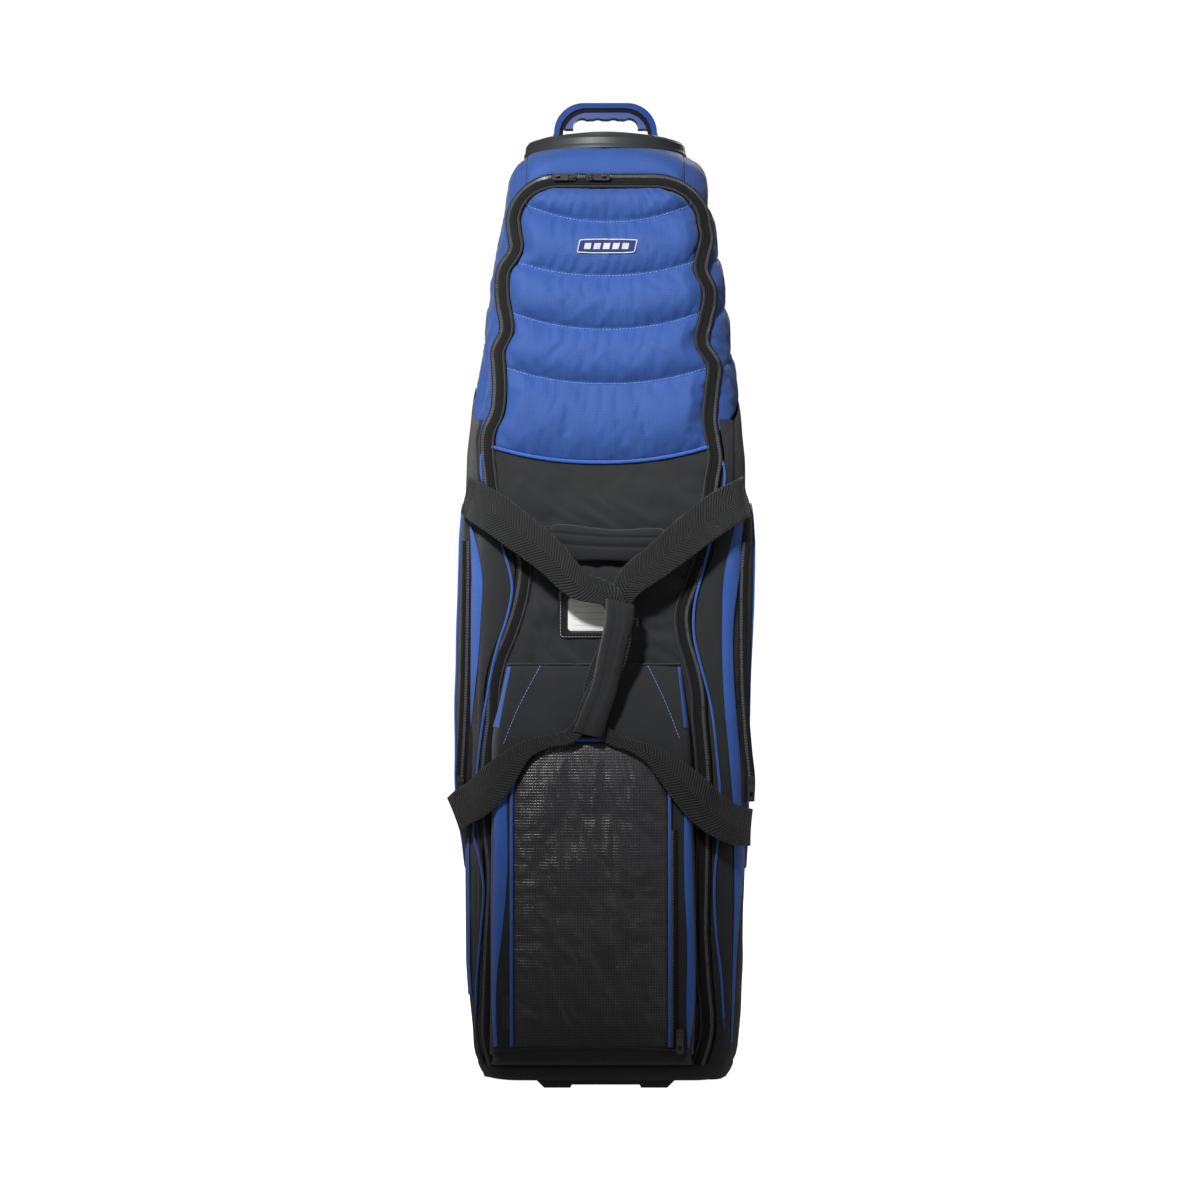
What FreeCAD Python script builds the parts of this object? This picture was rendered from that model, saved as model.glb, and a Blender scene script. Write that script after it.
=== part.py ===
"""Wheeled golf travel case: a padded soft case with a hard top, a swivel handle and a zipped front lid.

Millimetres. +Z is up, the front faces -Y, and +X is to the right of someone facing the front.
Dimensions in Y are measured from the swivel handle's axis. The finished pieces are moved by ROW_Y, so that
the origin is on the floor, under the middle of the whole object's box.
"""
import FreeCAD
import Part

import math
import os

V = FreeCAD.Vector
X_AXIS, Y_AXIS, Z_AXIS = V(1, 0, 0), V(0, 1, 0), V(0, 0, 1)

# ---- driving dimensions -------------------------------------------------------------------
HANDLE_TOP = 1300.0  # overall height
ROW_Y = 20.0  # from the handle's axis to the middle of the box, which runs from the wrap to the wheels
BODY_BOTTOM = 18.3  # lower edge of the padded wall
WALL = 8.0  # padded fabric wall
SEAM_GAP = 0.5  # half of the gap that the main zip bridges

# The case in plan is a rounded rectangle: height, half width, front y, back y, corner radius.
BODY_SECTIONS = [
    (BODY_BOTTOM, 160.0, -150.0, 152.0, 40.0),
    (45.0, 172.0, -158.0, 156.0, 45.0),
    (160.0, 180.0, -162.0, 158.0, 48.0),
    (640.0, 182.0, -162.0, 158.0, 50.0),
    (820.0, 181.0, -162.0, 156.0, 50.0),
    (930.0, 170.0, -158.0, 150.0, 52.0),
    (1060.0, 156.0, -147.0, 140.0, 55.0),
    (1150.0, 137.0, -132.0, 126.0, 60.0),
    (1203.0, 132.0, -121.0, 117.0, 62.0),
    (1218.0, 120.0, -112.0, 110.0, 75.0),
    (1225.0, 102.3, -102.3, 102.3, 101.3),
    (1236.0, 102.0, -102.0, 102.0, 101.0),
]

# The main zip from the hinge to the top corners, as height and distance from the middle. The case was cut by
# eye, so the waist sits lower and narrower on the right.
LID_LEFT = [
    (28.0, 150.0),
    (117.0, 157.0),
    (286.0, 152.0),
    (400.0, 157.0),
    (476.0, 152.0),
    (530.0, 150.0),
    (590.0, 130.0),
    (650.0, 114.0),
    (700.0, 118.0),
    (763.0, 150.0),
    (823.0, 158.0),
    (875.0, 147.0),
    (957.0, 142.0),
    (1035.0, 138.0),
    (1092.0, 126.0),
    (1127.0, 120.0),
]
LID_RIGHT = [
    (28.0, 126.0),
    (117.0, 132.0),
    (286.0, 130.0),
    (422.0, 131.0),
    (481.0, 126.0),
    (551.0, 117.0),
    (610.0, 104.0),
    (661.0, 120.0),
    (720.0, 134.0),
    (790.0, 143.0),
    (823.0, 146.0),
    (905.0, 142.0),
    (966.0, 134.0),
    (1038.0, 138.0),
    (1092.0, 133.0),
    (1127.0, 124.0),
]
LID_TOP = 1185.0
LID_CORNER = 58.0
LID_HINGE_Y, LID_HINGE_Z = -152.0, 28.0
COLOUR_BREAK_EDGE, COLOUR_BREAK_MIDDLE = 842.0, 813.0  # where the quilted top meets the plain cloth
SIDE_COLOUR_BREAK = 885.0
NECK_BOTTOM = 1192.0  # above this the wall is one piece all round
BORDER_Y = -112.0  # front border and side panel meet here
BACK_Y = 108.0  # side panel and back panel meet here

TAPE_W, TAPE_T = 9.0, 1.6

# front pocket, on the lid
POCKET_X = (-138.0, 115.0)
POCKET_SHOULDERS = ((-128.0, 515.0), (96.0, 480.0))  # where the top corners are drawn in beside the main zip
POCKET_Z = (58.0, 553.0)
POCKET_PROUD = 28.0
POCKET_FRONT_Y = -162.5 - POCKET_PROUD
DOOR_X = (-107.0, 89.0)
DOOR_Z = (66.0, 452.0)
DOOR_T = 2.0

# side pockets
SIDE_POCKET_T = 19.0
SIDE_POCKET_Y = (-141.0, 96.0)
SIDE_POCKET_Z = (258.0, 782.0)
SIDE_POCKET_R = 100.0
POUCH_T = 2.5

# hard top and swivel handle
CAP_R = 108.0
CAP_SKIRT_Z, CAP_RIM_Z = 1227.0, 1246.0
CAP_WALL = 3.0
CAP_PLATE_Z = 1241.0
TURNTABLE_R, TURNTABLE_TOP = 97.0, 1256.0
SPINDLE_R, SPINDLE_GAP = 6.0, 0.05
HANDLE_HALF_W, HANDLE_CORNER = 74.0, 40.0
HANDLE_COVER_T, HANDLE_FRAME_T, GRIP_T = 7.0, 5.0, 9.0

# wheels
WHEEL_R, WHEEL_W = 38.0, 24.0
WHEEL_X, WHEEL_Y = 130.0, 140.0
WHEEL_CLEAR = 3.0
HOUSING_WALL = 5.0
HOUSING_TOP = 90.0
AXLE_R, AXLE_GAP = 4.0, 0.05
BEARING_R, BEARING_W = 11.0, 7.0

# base
TRAY_BOTTOM, TRAY_T = 12.0, 6.0
KICK_TOP = 185.0
STAND_X, FOOT_OUT, FOOT_IN = 92.0, 80.0, 46.0
STAND_Y = (-140.0, -84.0)

# zip sliders
MAIN_SLIDER_X, MAIN_SLIDER_Z = (-44.0, -20.0), LID_TOP
FRONT_SLIDER_X, FRONT_SLIDER_Z = 95.0, 78.0
SIDE_ZIP_X, SIDE_ZIP_Z, SIDE_SLIDER_Z = 188.6, (385.0, 700.0), 400.0
PULL_L = 26.0

# webbing
CARRY_W, CARRY_T = 50.0, 2.4
INNER_W, INNER_T = 38.0, 1.8
INNER_STRAP_Z = 600.0
INNER_STRAP_Y = -139.0
INNER_HALF_W = 162.0


# ---- small helpers ------------------------------------------------------------------------
def box(x, y, z):
    """A box from its three (low, high) pairs."""
    return Part.makeBox(x[1] - x[0], y[1] - y[0], z[1] - z[0], V(x[0], y[0], z[0]))


def cylinder(r, length, start, axis):
    return Part.makeCylinder(r, length, start, axis)


def mirrored(shape):
    """The left-hand copy of a right-hand shape."""
    return shape.mirror(V(0, 0, 0), X_AXIS)


def fillet_or_keep(shape, radius, wanted):
    """Rounds the edges that wanted(edge) picks, and keeps the sharp shape where that can't be built."""
    edges = [e for e in shape.Edges if wanted(e)]
    if not edges:
        return shape
    try:
        rounded = shape.makeFillet(radius, edges)
    except Part.OCCError:
        return shape
    return rounded if rounded.isValid() and rounded.Volume > 0 else shape


def turned(points, start, axis):
    """A solid of revolution from (radius, height) points."""
    wire = Part.makePolygon([V(r, 0, z) for r, z in points + points[:1]])
    solid = Part.Face(wire).revolve(V(0, 0, 0), Z_AXIS, 360)
    solid.Placement = FreeCAD.Placement(start, FreeCAD.Rotation(Z_AXIS, axis))
    return solid


def plate_xz(points, y):
    """A polygon of (x, z) points, extruded between two y values."""
    wire = Part.makePolygon([V(px, y[0], pz) for px, pz in points + points[:1]])
    return Part.Face(wire).extrude(V(0, y[1] - y[0], 0))


def ribbon(stations, thickness):
    """Flat webbing through (centre, width direction, width) stations, as one smooth solid."""
    wires = []
    for i, (centre, across, width) in enumerate(stations):
        before = stations[max(i - 1, 0)][0]
        after = stations[min(i + 1, len(stations) - 1)][0]
        along = (after - before).normalize()
        side = V(across)
        side = (side - along * side.dot(along)).normalize() * (width / 2)
        normal = along.cross(side).normalize() * (thickness / 2)
        corners = [centre + side + normal, centre - side + normal, centre - side - normal, centre + side - normal]
        wires.append(Part.makePolygon(corners + corners[:1]))
    return Part.makeLoft(wires, True, True)


# ---- the padded body ----------------------------------------------------------------------
def section_wire(z, half_w, front, back, radius):
    """One rounded rectangle of the body, always starting at the same corner."""
    r = min(radius, half_w - 1, (back - front) / 2 - 1)
    s = r * math.sqrt(0.5)
    corners = [(half_w - r, back - r, 1, 1), (-half_w + r, back - r, -1, 1),
               (-half_w + r, front + r, -1, -1), (half_w - r, front + r, 1, -1)]
    ends, mids = [], []
    for cx, cy, sx, sy in corners:
        on_side, on_flat = V(cx + sx * r, cy, z), V(cx, cy + sy * r, z)
        ends.append((on_side, on_flat) if sx * sy > 0 else (on_flat, on_side))
        mids.append(V(cx + sx * s, cy + sy * s, z))
    edges = []
    for i in range(4):
        edges.append(Part.Arc(ends[i][0], mids[i], ends[i][1]).toShape())
        edges.append(Part.makeLine(ends[i][1], ends[(i + 1) % 4][0]))
    return Part.Wire(edges)


def body_solid(grow, reach=0.0):
    """The whole body as a filled loft, grown outwards, and stretched past both ends by reach."""
    sections = []
    for i, (z, half_w, front, back, radius) in enumerate(BODY_SECTIONS):
        if i == 0:
            z -= reach
        if i == len(BODY_SECTIONS) - 1:
            z += reach
        sections.append(section_wire(z, half_w + grow, front - grow, back + grow, max(radius + grow, 20)))
    return Part.makeLoft(sections, True, True)


def body_at(z):
    """Half width, front y and back y of the body at one height."""
    for low, high in zip(BODY_SECTIONS, BODY_SECTIONS[1:]):
        if low[0] <= z <= high[0]:
            t = (z - low[0]) / (high[0] - low[0])
            return [low[k] + (high[k] - low[k]) * t for k in (1, 2, 3)]
    raise ValueError("height outside the body")


def lid_prism(grow):
    """The lid's outline, grown by a margin, as a prism through the front wall."""
    y0, depth = -260.0, 190.0
    edges, feet, shoulders = [], [], []
    for sign, outline in ((1, LID_RIGHT), (-1, LID_LEFT)):
        points = [V(sign * (w + grow), y0, z) for z, w in outline]
        points[0].z -= grow
        side = Part.BSplineCurve()
        side.interpolate(points)
        radius_z = LID_TOP + grow - points[-1].z
        shoulder = points[-1] + V(-sign * LID_CORNER, 0, radius_z)
        s = math.sqrt(0.5)
        mid = points[-1] + V(-sign * LID_CORNER * (1 - s), 0, radius_z * s)
        edges += [side.toShape(), Part.Arc(points[-1], mid, shoulder).toShape()]
        feet.append(points[0])
        shoulders.append(shoulder)
    edges += [Part.makeLine(*feet), Part.makeLine(*shoulders)]
    wire = Part.Wire(Part.__sortEdges__(edges))
    return Part.Face(wire).extrude(V(0, depth, 0))


def wheel_notches(margin):
    """The two corner blocks that the wheel housings fill, grown by a margin."""
    half = WHEEL_W / 2 + WHEEL_CLEAR + HOUSING_WALL + margin
    right = box((WHEEL_X - half, WHEEL_X + half), (WHEEL_Y - WHEEL_R - 12 - margin, 260),
                (-10, HOUSING_TOP + margin))
    bolt = cylinder(10 + margin, 90, V(WHEEL_X - 45, WHEEL_Y, WHEEL_R), X_AXIS)
    right = right.fuse(bolt)
    return right.fuse(mirrored(right))


def colour_break(above):
    """The half space over or under the curved seam across the lid."""
    y0, y1, far = -260.0, -60.0, 200.0
    z_far = 1400.0 if above else -50.0
    a, b = V(-far, y0, COLOUR_BREAK_EDGE + 8), V(far, y0, COLOUR_BREAK_EDGE + 8)
    arc = Part.Arc(a, V(0, y0, COLOUR_BREAK_MIDDLE), b).toShape()
    edges = [arc, Part.makeLine(b, V(far, y0, z_far)), Part.makeLine(V(far, y0, z_far), V(-far, y0, z_far)),
             Part.makeLine(V(-far, y0, z_far), a)]
    return Part.Face(Part.Wire(edges)).extrude(V(0, y1 - y0, 0))


def soft_body():
    """The sewn panels of the case and the lid."""
    parts = {}
    wall = body_solid(0).cut(body_solid(-WALL, 5))
    lid = wall.common(lid_prism(-SEAM_GAP))
    case = wall.cut(lid_prism(SEAM_GAP)).cut(wheel_notches(0.5))
    far, low, high = 400.0, -20.0, 1400.0
    neck = box((-far, far), (-far, far), (NECK_BOTTOM, high))
    parts["neck_panel"] = case.common(neck)
    below = case.cut(neck)
    borders = []
    parts["back_panel"] = below.common(box((-far, far), (BACK_Y, far), (low, high)))
    for side, x in (("left", (-far, 0)), ("right", (0, far))):
        half = below.common(box(x, (-far, BACK_Y), (low, high)))
        upper = half.common(box(x, (-far, far), (SIDE_COLOUR_BREAK, high)))
        lower = half.common(box(x, (-far, far), (low, SIDE_COLOUR_BREAK)))
        parts["upper_side_" + side] = upper
        parts["lower_side_" + side] = lower.common(box(x, (BORDER_Y, far), (low, high)))
        borders.append(lower.common(box(x, (-far, BORDER_Y), (low, high))))
    parts["front_borders"] = Part.Compound(borders)
    parts["lid_quilt"] = lid.common(colour_break(True))
    parts["lid_lower_panel"] = lid.common(colour_break(False))
    return parts


def main_zip():
    """The two halves of the main zip: a tape on the case and a tape on the lid."""
    layer = body_solid(TAPE_T).cut(body_solid(0.1, 5))
    layer = layer.common(box((-400, 400), (-400, -60), (LID_HINGE_Z + 2, 1400)))
    case_half = layer.common(lid_prism(TAPE_W)).cut(lid_prism(SEAM_GAP))
    lid_half = layer.common(lid_prism(-SEAM_GAP)).cut(lid_prism(-TAPE_W))
    lid_half = lid_half.common(box((-400, 400), (-400, 0), (LID_HINGE_Z + 6, 1400)))
    return {"main_zip_case_half": case_half, "main_zip_lid_half": lid_half}


def side_pocket():
    """The right-hand side pocket: a hollow pouch standing off the side panel."""
    def outline(inset):
        (y0, y1), (z0, z1) = SIDE_POCKET_Y, SIDE_POCKET_Z
        block = box((60, 260), (y0 + inset, y1 - inset), (z0 + inset, z1 - inset))
        return fillet_or_keep(block, SIDE_POCKET_R - inset, lambda e: abs(e.BoundBox.XLength) > 150)

    pouch = body_solid(SIDE_POCKET_T).cut(body_solid(0.3, 5)).common(outline(0))
    hollow = body_solid(SIDE_POCKET_T - POUCH_T).cut(body_solid(0.3 + POUCH_T, 5)).common(outline(POUCH_T))
    return pouch.cut(hollow)


def side_zip():
    """The coil along the front edge of the right-hand side pocket."""
    y = SIDE_POCKET_Y[0] - 0.4
    return box((SIDE_ZIP_X - 4, SIDE_ZIP_X + 4), (y - 1.8, y), SIDE_ZIP_Z)


# ---- lid furniture ------------------------------------------------------------------------
def front_pocket():
    """Pouch, arched door and zip of the front pocket."""
    x, z, y_back, y_front = POCKET_X, POCKET_Z, -162.4, POCKET_FRONT_Y

    def block(t):
        """The pouch's profile drawn in by t and extruded across."""
        x0 = x[0] + t
        profile = [V(x0, y_back - t, z[0] + t), V(x0, y_front + 10, z[0] + t), V(x0, y_front + t, z[0] + 10),
                   V(x0, y_front + t, DOOR_Z[1] + 6), V(x0, y_back - 2 - t, z[1] - 8 * t),
                   V(x0, y_back - t, z[1] - 8 * t)]
        prism = Part.Face(Part.makePolygon(profile + profile[:1])).extrude(V(x[1] - x[0] - 2 * t, 0, 0))
        (left, left_z), (right, right_z) = POCKET_SHOULDERS
        sides = [(x[0] + t, z[0]), (x[1] - t, z[0]), (x[1] - t, right_z), (right - t, z[1]), (left + t, z[1]),
                 (x[0] + t, left_z)]
        return prism.common(plate_xz(sides, (y_front - 1, y_back + 1)))

    pouch = fillet_or_keep(block(0), 8, lambda e: e.BoundBox.YMax < y_front + 1 and e.BoundBox.ZLength > 300
                           and e.BoundBox.XLength < 1)
    pouch = pouch.cut(block(POUCH_T))

    def arch(inset):
        half = (DOOR_X[1] - DOOR_X[0]) / 2 - inset
        centre = (DOOR_X[0] + DOOR_X[1]) / 2
        r = min(74.0, half - 1)
        top = DOOR_Z[1] - inset
        low = DOOR_Z[0]
        a, b = V(centre + half, 0, low), V(centre + half, 0, top - r)
        c, d = V(centre + half - r, 0, top), V(centre - half + r, 0, top)
        e, f = V(centre - half, 0, top - r), V(centre - half, 0, low)
        s = r * math.sqrt(0.5)
        edges = [Part.makeLine(a, b), Part.Arc(b, V(centre + half - r + s, 0, top - r + s), c).toShape(),
                 Part.makeLine(c, d), Part.Arc(d, V(centre - half + r - s, 0, top - r + s), e).toShape(),
                 Part.makeLine(e, f), Part.makeLine(f, a)]
        return Part.Face(Part.Wire(edges))

    door_y = y_front - 0.4
    door = arch(0).extrude(V(0, -DOOR_T, 0))
    door.translate(V(0, door_y, 0))
    tape = arch(-10).cut(arch(-1)).extrude(V(0, -1.4, 0))
    tape = tape.common(box((-300, 300), (-5, 5), (DOOR_Z[0], 1000)))
    tape.translate(V(0, y_front - 0.2, 0))
    return {"front_pocket_pouch": pouch, "front_pocket_door": door, "front_pocket_zip": tape}


ID_X, ID_Z, ID_Y = (-63.0, 40.0), (583.0, 650.0), -162.6


def id_holder():
    """Stitched frame with a card behind a clear window."""
    rim = 11.0
    frame = box(ID_X, (ID_Y - 3.0, ID_Y), ID_Z)
    frame = fillet_or_keep(frame, 6, lambda e: e.BoundBox.YLength > 2.9)
    opening = box((ID_X[0] + rim, ID_X[1] - rim), (ID_Y - 4, ID_Y - 1.0), (ID_Z[0] + rim, ID_Z[1] - rim))
    frame = frame.cut(opening)
    card = box((ID_X[0] + rim + 1, ID_X[1] - rim - 1), (ID_Y - 1.7, ID_Y - 1.1),
               (ID_Z[0] + rim + 1, ID_Z[1] - rim - 1))
    window = box((ID_X[0] + rim + 0.2, ID_X[1] - rim - 0.2), (ID_Y - 2.4, ID_Y - 1.9),
                 (ID_Z[0] + rim + 0.2, ID_Z[1] - rim - 0.2))
    return {"id_frame": frame, "id_card": card, "id_window": window}


GRAB_X, GRAB_Z, GRAB_H, GRAB_T = (-66.0, 75.0), 710.0, 46.0, 15.0


def grab_handle():
    """Padded sleeve, and the webbing ends that sew it to the lid."""
    y0 = -167.0
    sleeve = box(GRAB_X, (y0 - GRAB_T, y0), (GRAB_Z - GRAB_H / 2, GRAB_Z + GRAB_H / 2))
    sleeve = fillet_or_keep(sleeve, 6, lambda e: e.BoundBox.XLength > 100)
    ends = []
    for x_in, x_out in ((GRAB_X[0], -104.0), (GRAB_X[1], 113.0)):
        step = 1 if x_out > x_in else -1
        path = [V(x_in + step * 1.0, y0 - GRAB_T / 2, GRAB_Z), V(x_in + step * 10, y0 - 5, GRAB_Z),
                V(x_in + step * 18, -164.4, GRAB_Z), V(x_out, -164.4, GRAB_Z)]
        ends.append(ribbon([(p, Z_AXIS, 36.0) for p in path], 1.8))
    return {"grab_handle_sleeve": sleeve, "grab_handle_webbing": Part.Compound(ends)}


# ---- carry straps -------------------------------------------------------------------------
WRAP_TOP, WRAP_BOTTOM = V(3, -206, 628), V(-20, -206, 466)


def carry_straps():
    """Two webbing loops, sewn to the sides, and the padded wrap that holds them together."""
    down = WRAP_BOTTOM - WRAP_TOP
    lean = V(down).normalize()
    across = lean.cross(Y_AXIS).normalize()
    length = down.Length
    place = FreeCAD.Placement(WRAP_TOP, FreeCAD.Rotation(across, Y_AXIS, lean, "ZXY"))
    sleeve = Part.makeBox(44, 24, length - 8, V(-22, -12, 0))
    sleeve = fillet_or_keep(sleeve, 8, lambda e: e.BoundBox.ZLength > 100)
    sleeve = sleeve.cut(Part.makeBox(38, 14, length, V(-19, -7, -1)))
    sleeve.Placement = place

    def loop(side, layer_y, top_in, low_in):
        upper = [
            (V(side * 183.5, -132, 772), V(side * 0.2, 0, 1), 46),
            (V(side * 169, -162, 762), V(side * -0.45, 0, 1), CARRY_W),
            (V(side * 122, -176, 735), V(side * -0.62, 0, 1), CARRY_W),
            (V(side * 62, -196, 687), V(side * -0.75, 0, 1), 44),
            (top_in + V(0, layer_y, 12), V(-side, 0, 0.4), 33),
        ]
        middle = [(top_in + V(0, layer_y, -2), V(-side, 0, 0), 31), (low_in + V(0, layer_y, 4), V(-side, 0, 0), 31)]
        lower = [
            (low_in + V(0, layer_y, -16), V(-side, 0, -0.4), 33),
            (V(side * 72, -202, 425), V(side * -0.5, 0, -1), CARRY_W),
            (V(side * 122, -202, 394), V(side * -0.6, 0, -1), CARRY_W),
            (V(side * 150, -192, 379), V(side * -0.6, 0, -1), CARRY_W),
            (V(side * 175, -172, 366), V(side * -0.6, 0, -1), CARRY_W),
            (V(side * 197, -144.5, 352), V(side * -0.5, 0, -1), 46),
        ]
        return ribbon(upper + middle + lower, CARRY_T)

    return {
        "carry_strap_left": loop(-1, -3.2, WRAP_TOP, WRAP_BOTTOM),
        "carry_strap_right": loop(1, 3.2, WRAP_TOP, WRAP_BOTTOM),
        "carry_wrap": sleeve,
    }


# ---- hard top and swivel handle -----------------------------------------------------------
def hard_top():
    """Cap with its spindle boss, the ring that clamps the cloth, and the screws through both."""
    outer = [(CAP_R + 1.5, CAP_SKIRT_Z), (CAP_R + 1.5, CAP_SKIRT_Z + 3), (CAP_R, CAP_SKIRT_Z + 6),
             (CAP_R - 1, CAP_RIM_Z - 5), (CAP_R - 4, CAP_RIM_Z - 1), (CAP_R - 8, CAP_RIM_Z)]
    seat = [(TURNTABLE_R + 0.6, CAP_RIM_Z), (TURNTABLE_R + 0.6, CAP_PLATE_Z), (SPINDLE_R + SPINDLE_GAP, CAP_PLATE_Z)]
    boss = [(SPINDLE_R + SPINDLE_GAP, CAP_PLATE_Z - 17), (15, CAP_PLATE_Z - 17), (16, CAP_PLATE_Z - CAP_WALL)]
    inside = [(CAP_R - CAP_WALL - 0.8, CAP_PLATE_Z - CAP_WALL), (CAP_R - CAP_WALL - 0.8, CAP_SKIRT_Z)]
    cap = turned(outer + seat + boss + inside, V(0, 0, 0), Z_AXIS)
    ring_low, ring_high = CAP_PLATE_Z - CAP_WALL - 9.0, CAP_PLATE_Z - CAP_WALL - 0.2
    ring = turned([(79, ring_low), (92.5, ring_low), (92.5, ring_high), (79, ring_high)], V(0, 0, 0), Z_AXIS)
    screws = []
    for i in range(6):
        a = math.radians(30 + 60 * i)
        at = V(86 * math.cos(a), 86 * math.sin(a), ring_low - 2.5)
        hole = cylinder(1.9, 30, at, Z_AXIS)
        ring = ring.cut(hole)
        screws.append(cylinder(1.8, 10.9, at, Z_AXIS).fuse(cylinder(3.5, 2.3, at, Z_AXIS)))
    return {"top_cap": cap, "cap_clamp_ring": ring, "cap_screws": Part.Compound(screws)}


def handle_wire(inset, foot_z):
    """The handle's arch in the XZ plane, drawn in by inset, closed along the feet."""
    w, top, r = HANDLE_HALF_W - inset, HANDLE_TOP - inset, HANDLE_CORNER - inset * 0.55
    lean = 5.0
    s = r * math.sqrt(0.5)
    shoulder = w - lean
    a, b = V(w, 0, foot_z), V(shoulder, 0, top - r)
    c, d = V(shoulder - r, 0, top), V(-shoulder + r, 0, top)
    e, f = V(-shoulder, 0, top - r), V(-w, 0, foot_z)
    return Part.Wire([
        Part.makeLine(a, b),
        Part.Arc(b, V(shoulder - r + s, 0, top - r + s), c).toShape(),
        Part.makeLine(c, d),
        Part.Arc(d, V(-shoulder + r - s, 0, top - r + s), e).toShape(),
        Part.makeLine(e, f),
        Part.makeLine(f, a),
    ])


def arch_band(outer, inner, half_depth, foot_z):
    """A band of the arch between two insets."""
    face = Part.Face(handle_wire(outer, foot_z)).cut(Part.Face(handle_wire(inner, foot_z)))
    band = face.extrude(V(0, 2 * half_depth, 0))
    band.translate(V(0, -half_depth, 0))
    return band


def swivel_handle():
    """Turntable, spindle and the three layers of the handle."""
    r, top = TURNTABLE_R, TURNTABLE_TOP
    under = CAP_PLATE_Z + 0.4
    table = turned([(0, under), (r, under), (r, CAP_RIM_Z + 1), (r - 5, CAP_RIM_Z + 3), (62, top - 1.5), (54, top),
                    (0, top)], V(0, 0, 0), Z_AXIS)
    marks = []
    for i in range(-3, 4):
        a = math.radians(-90 + 7 * i)
        marks.append(cylinder(1.2, 12, V(76 * math.cos(a), 76 * math.sin(a), top - 10), Z_AXIS))
    foot = CAP_RIM_Z
    t1, t2, t3 = HANDLE_COVER_T, HANDLE_COVER_T + HANDLE_FRAME_T, HANDLE_COVER_T + HANDLE_FRAME_T + GRIP_T
    cover = arch_band(0, t1, 15, foot).cut(table)
    cover = fillet_or_keep(cover, 3.0, lambda e: e.BoundBox.ZMin > top and e.BoundBox.YLength < 0.1
                           and e.BoundBox.ZMax > HANDLE_TOP - 35 and e.BoundBox.XLength < 160
                           and (e.BoundBox.ZMax > HANDLE_TOP - 0.5))
    frame = arch_band(t1, t2, 12, foot).cut(table)
    grip = arch_band(t2, t3, 11, foot)
    grip = grip.common(box((-80, 80), (-40, 40), (HANDLE_TOP - 34, HANDLE_TOP)))
    for i in range(4):
        x = -31.5 + 21 * i
        grip = grip.cut(cylinder(12, 40, V(x, -20, HANDLE_TOP - t3 - 10.6), Y_AXIS))
    spindle = cylinder(SPINDLE_R, 30, V(0, 0, CAP_PLATE_Z - 28), Z_AXIS)
    spindle = spindle.common(box((-20, 20), (-20, 20), (0, under)))
    washer_z = CAP_PLATE_Z - 17 - 0.4 - 2
    washer = cylinder(13, 2, V(0, 0, washer_z), Z_AXIS).cut(cylinder(SPINDLE_R, 2, V(0, 0, washer_z), Z_AXIS))
    nut = hexagon(9.5, 6.5, V(0, 0, washer_z - 6.5), Z_AXIS).cut(
        cylinder(SPINDLE_R, 7, V(0, 0, washer_z - 6.8), Z_AXIS))
    table_with_marks = table
    for mark in marks:
        table_with_marks = table_with_marks.fuse(mark.common(box((-99, 99), (-99, 99), (CAP_RIM_Z, top - 5.7))))
    return {
        "handle_turntable": table_with_marks.removeSplitter(),
        "handle_cover": cover,
        "handle_frame": frame,
        "handle_grip": grip,
        "swivel_spindle": spindle,
        "swivel_fasteners": Part.Compound([washer, nut]),
    }


def hexagon(radius, height, start, axis):
    """A hexagonal nut or bolt head."""
    points = [V(radius * math.cos(math.radians(60 * i)), radius * math.sin(math.radians(60 * i)), 0) for i in range(6)]
    head = Part.Face(Part.makePolygon(points + points[:1])).extrude(V(0, 0, height))
    head.Placement = FreeCAD.Placement(start, FreeCAD.Rotation(Z_AXIS, axis))
    return head


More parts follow.
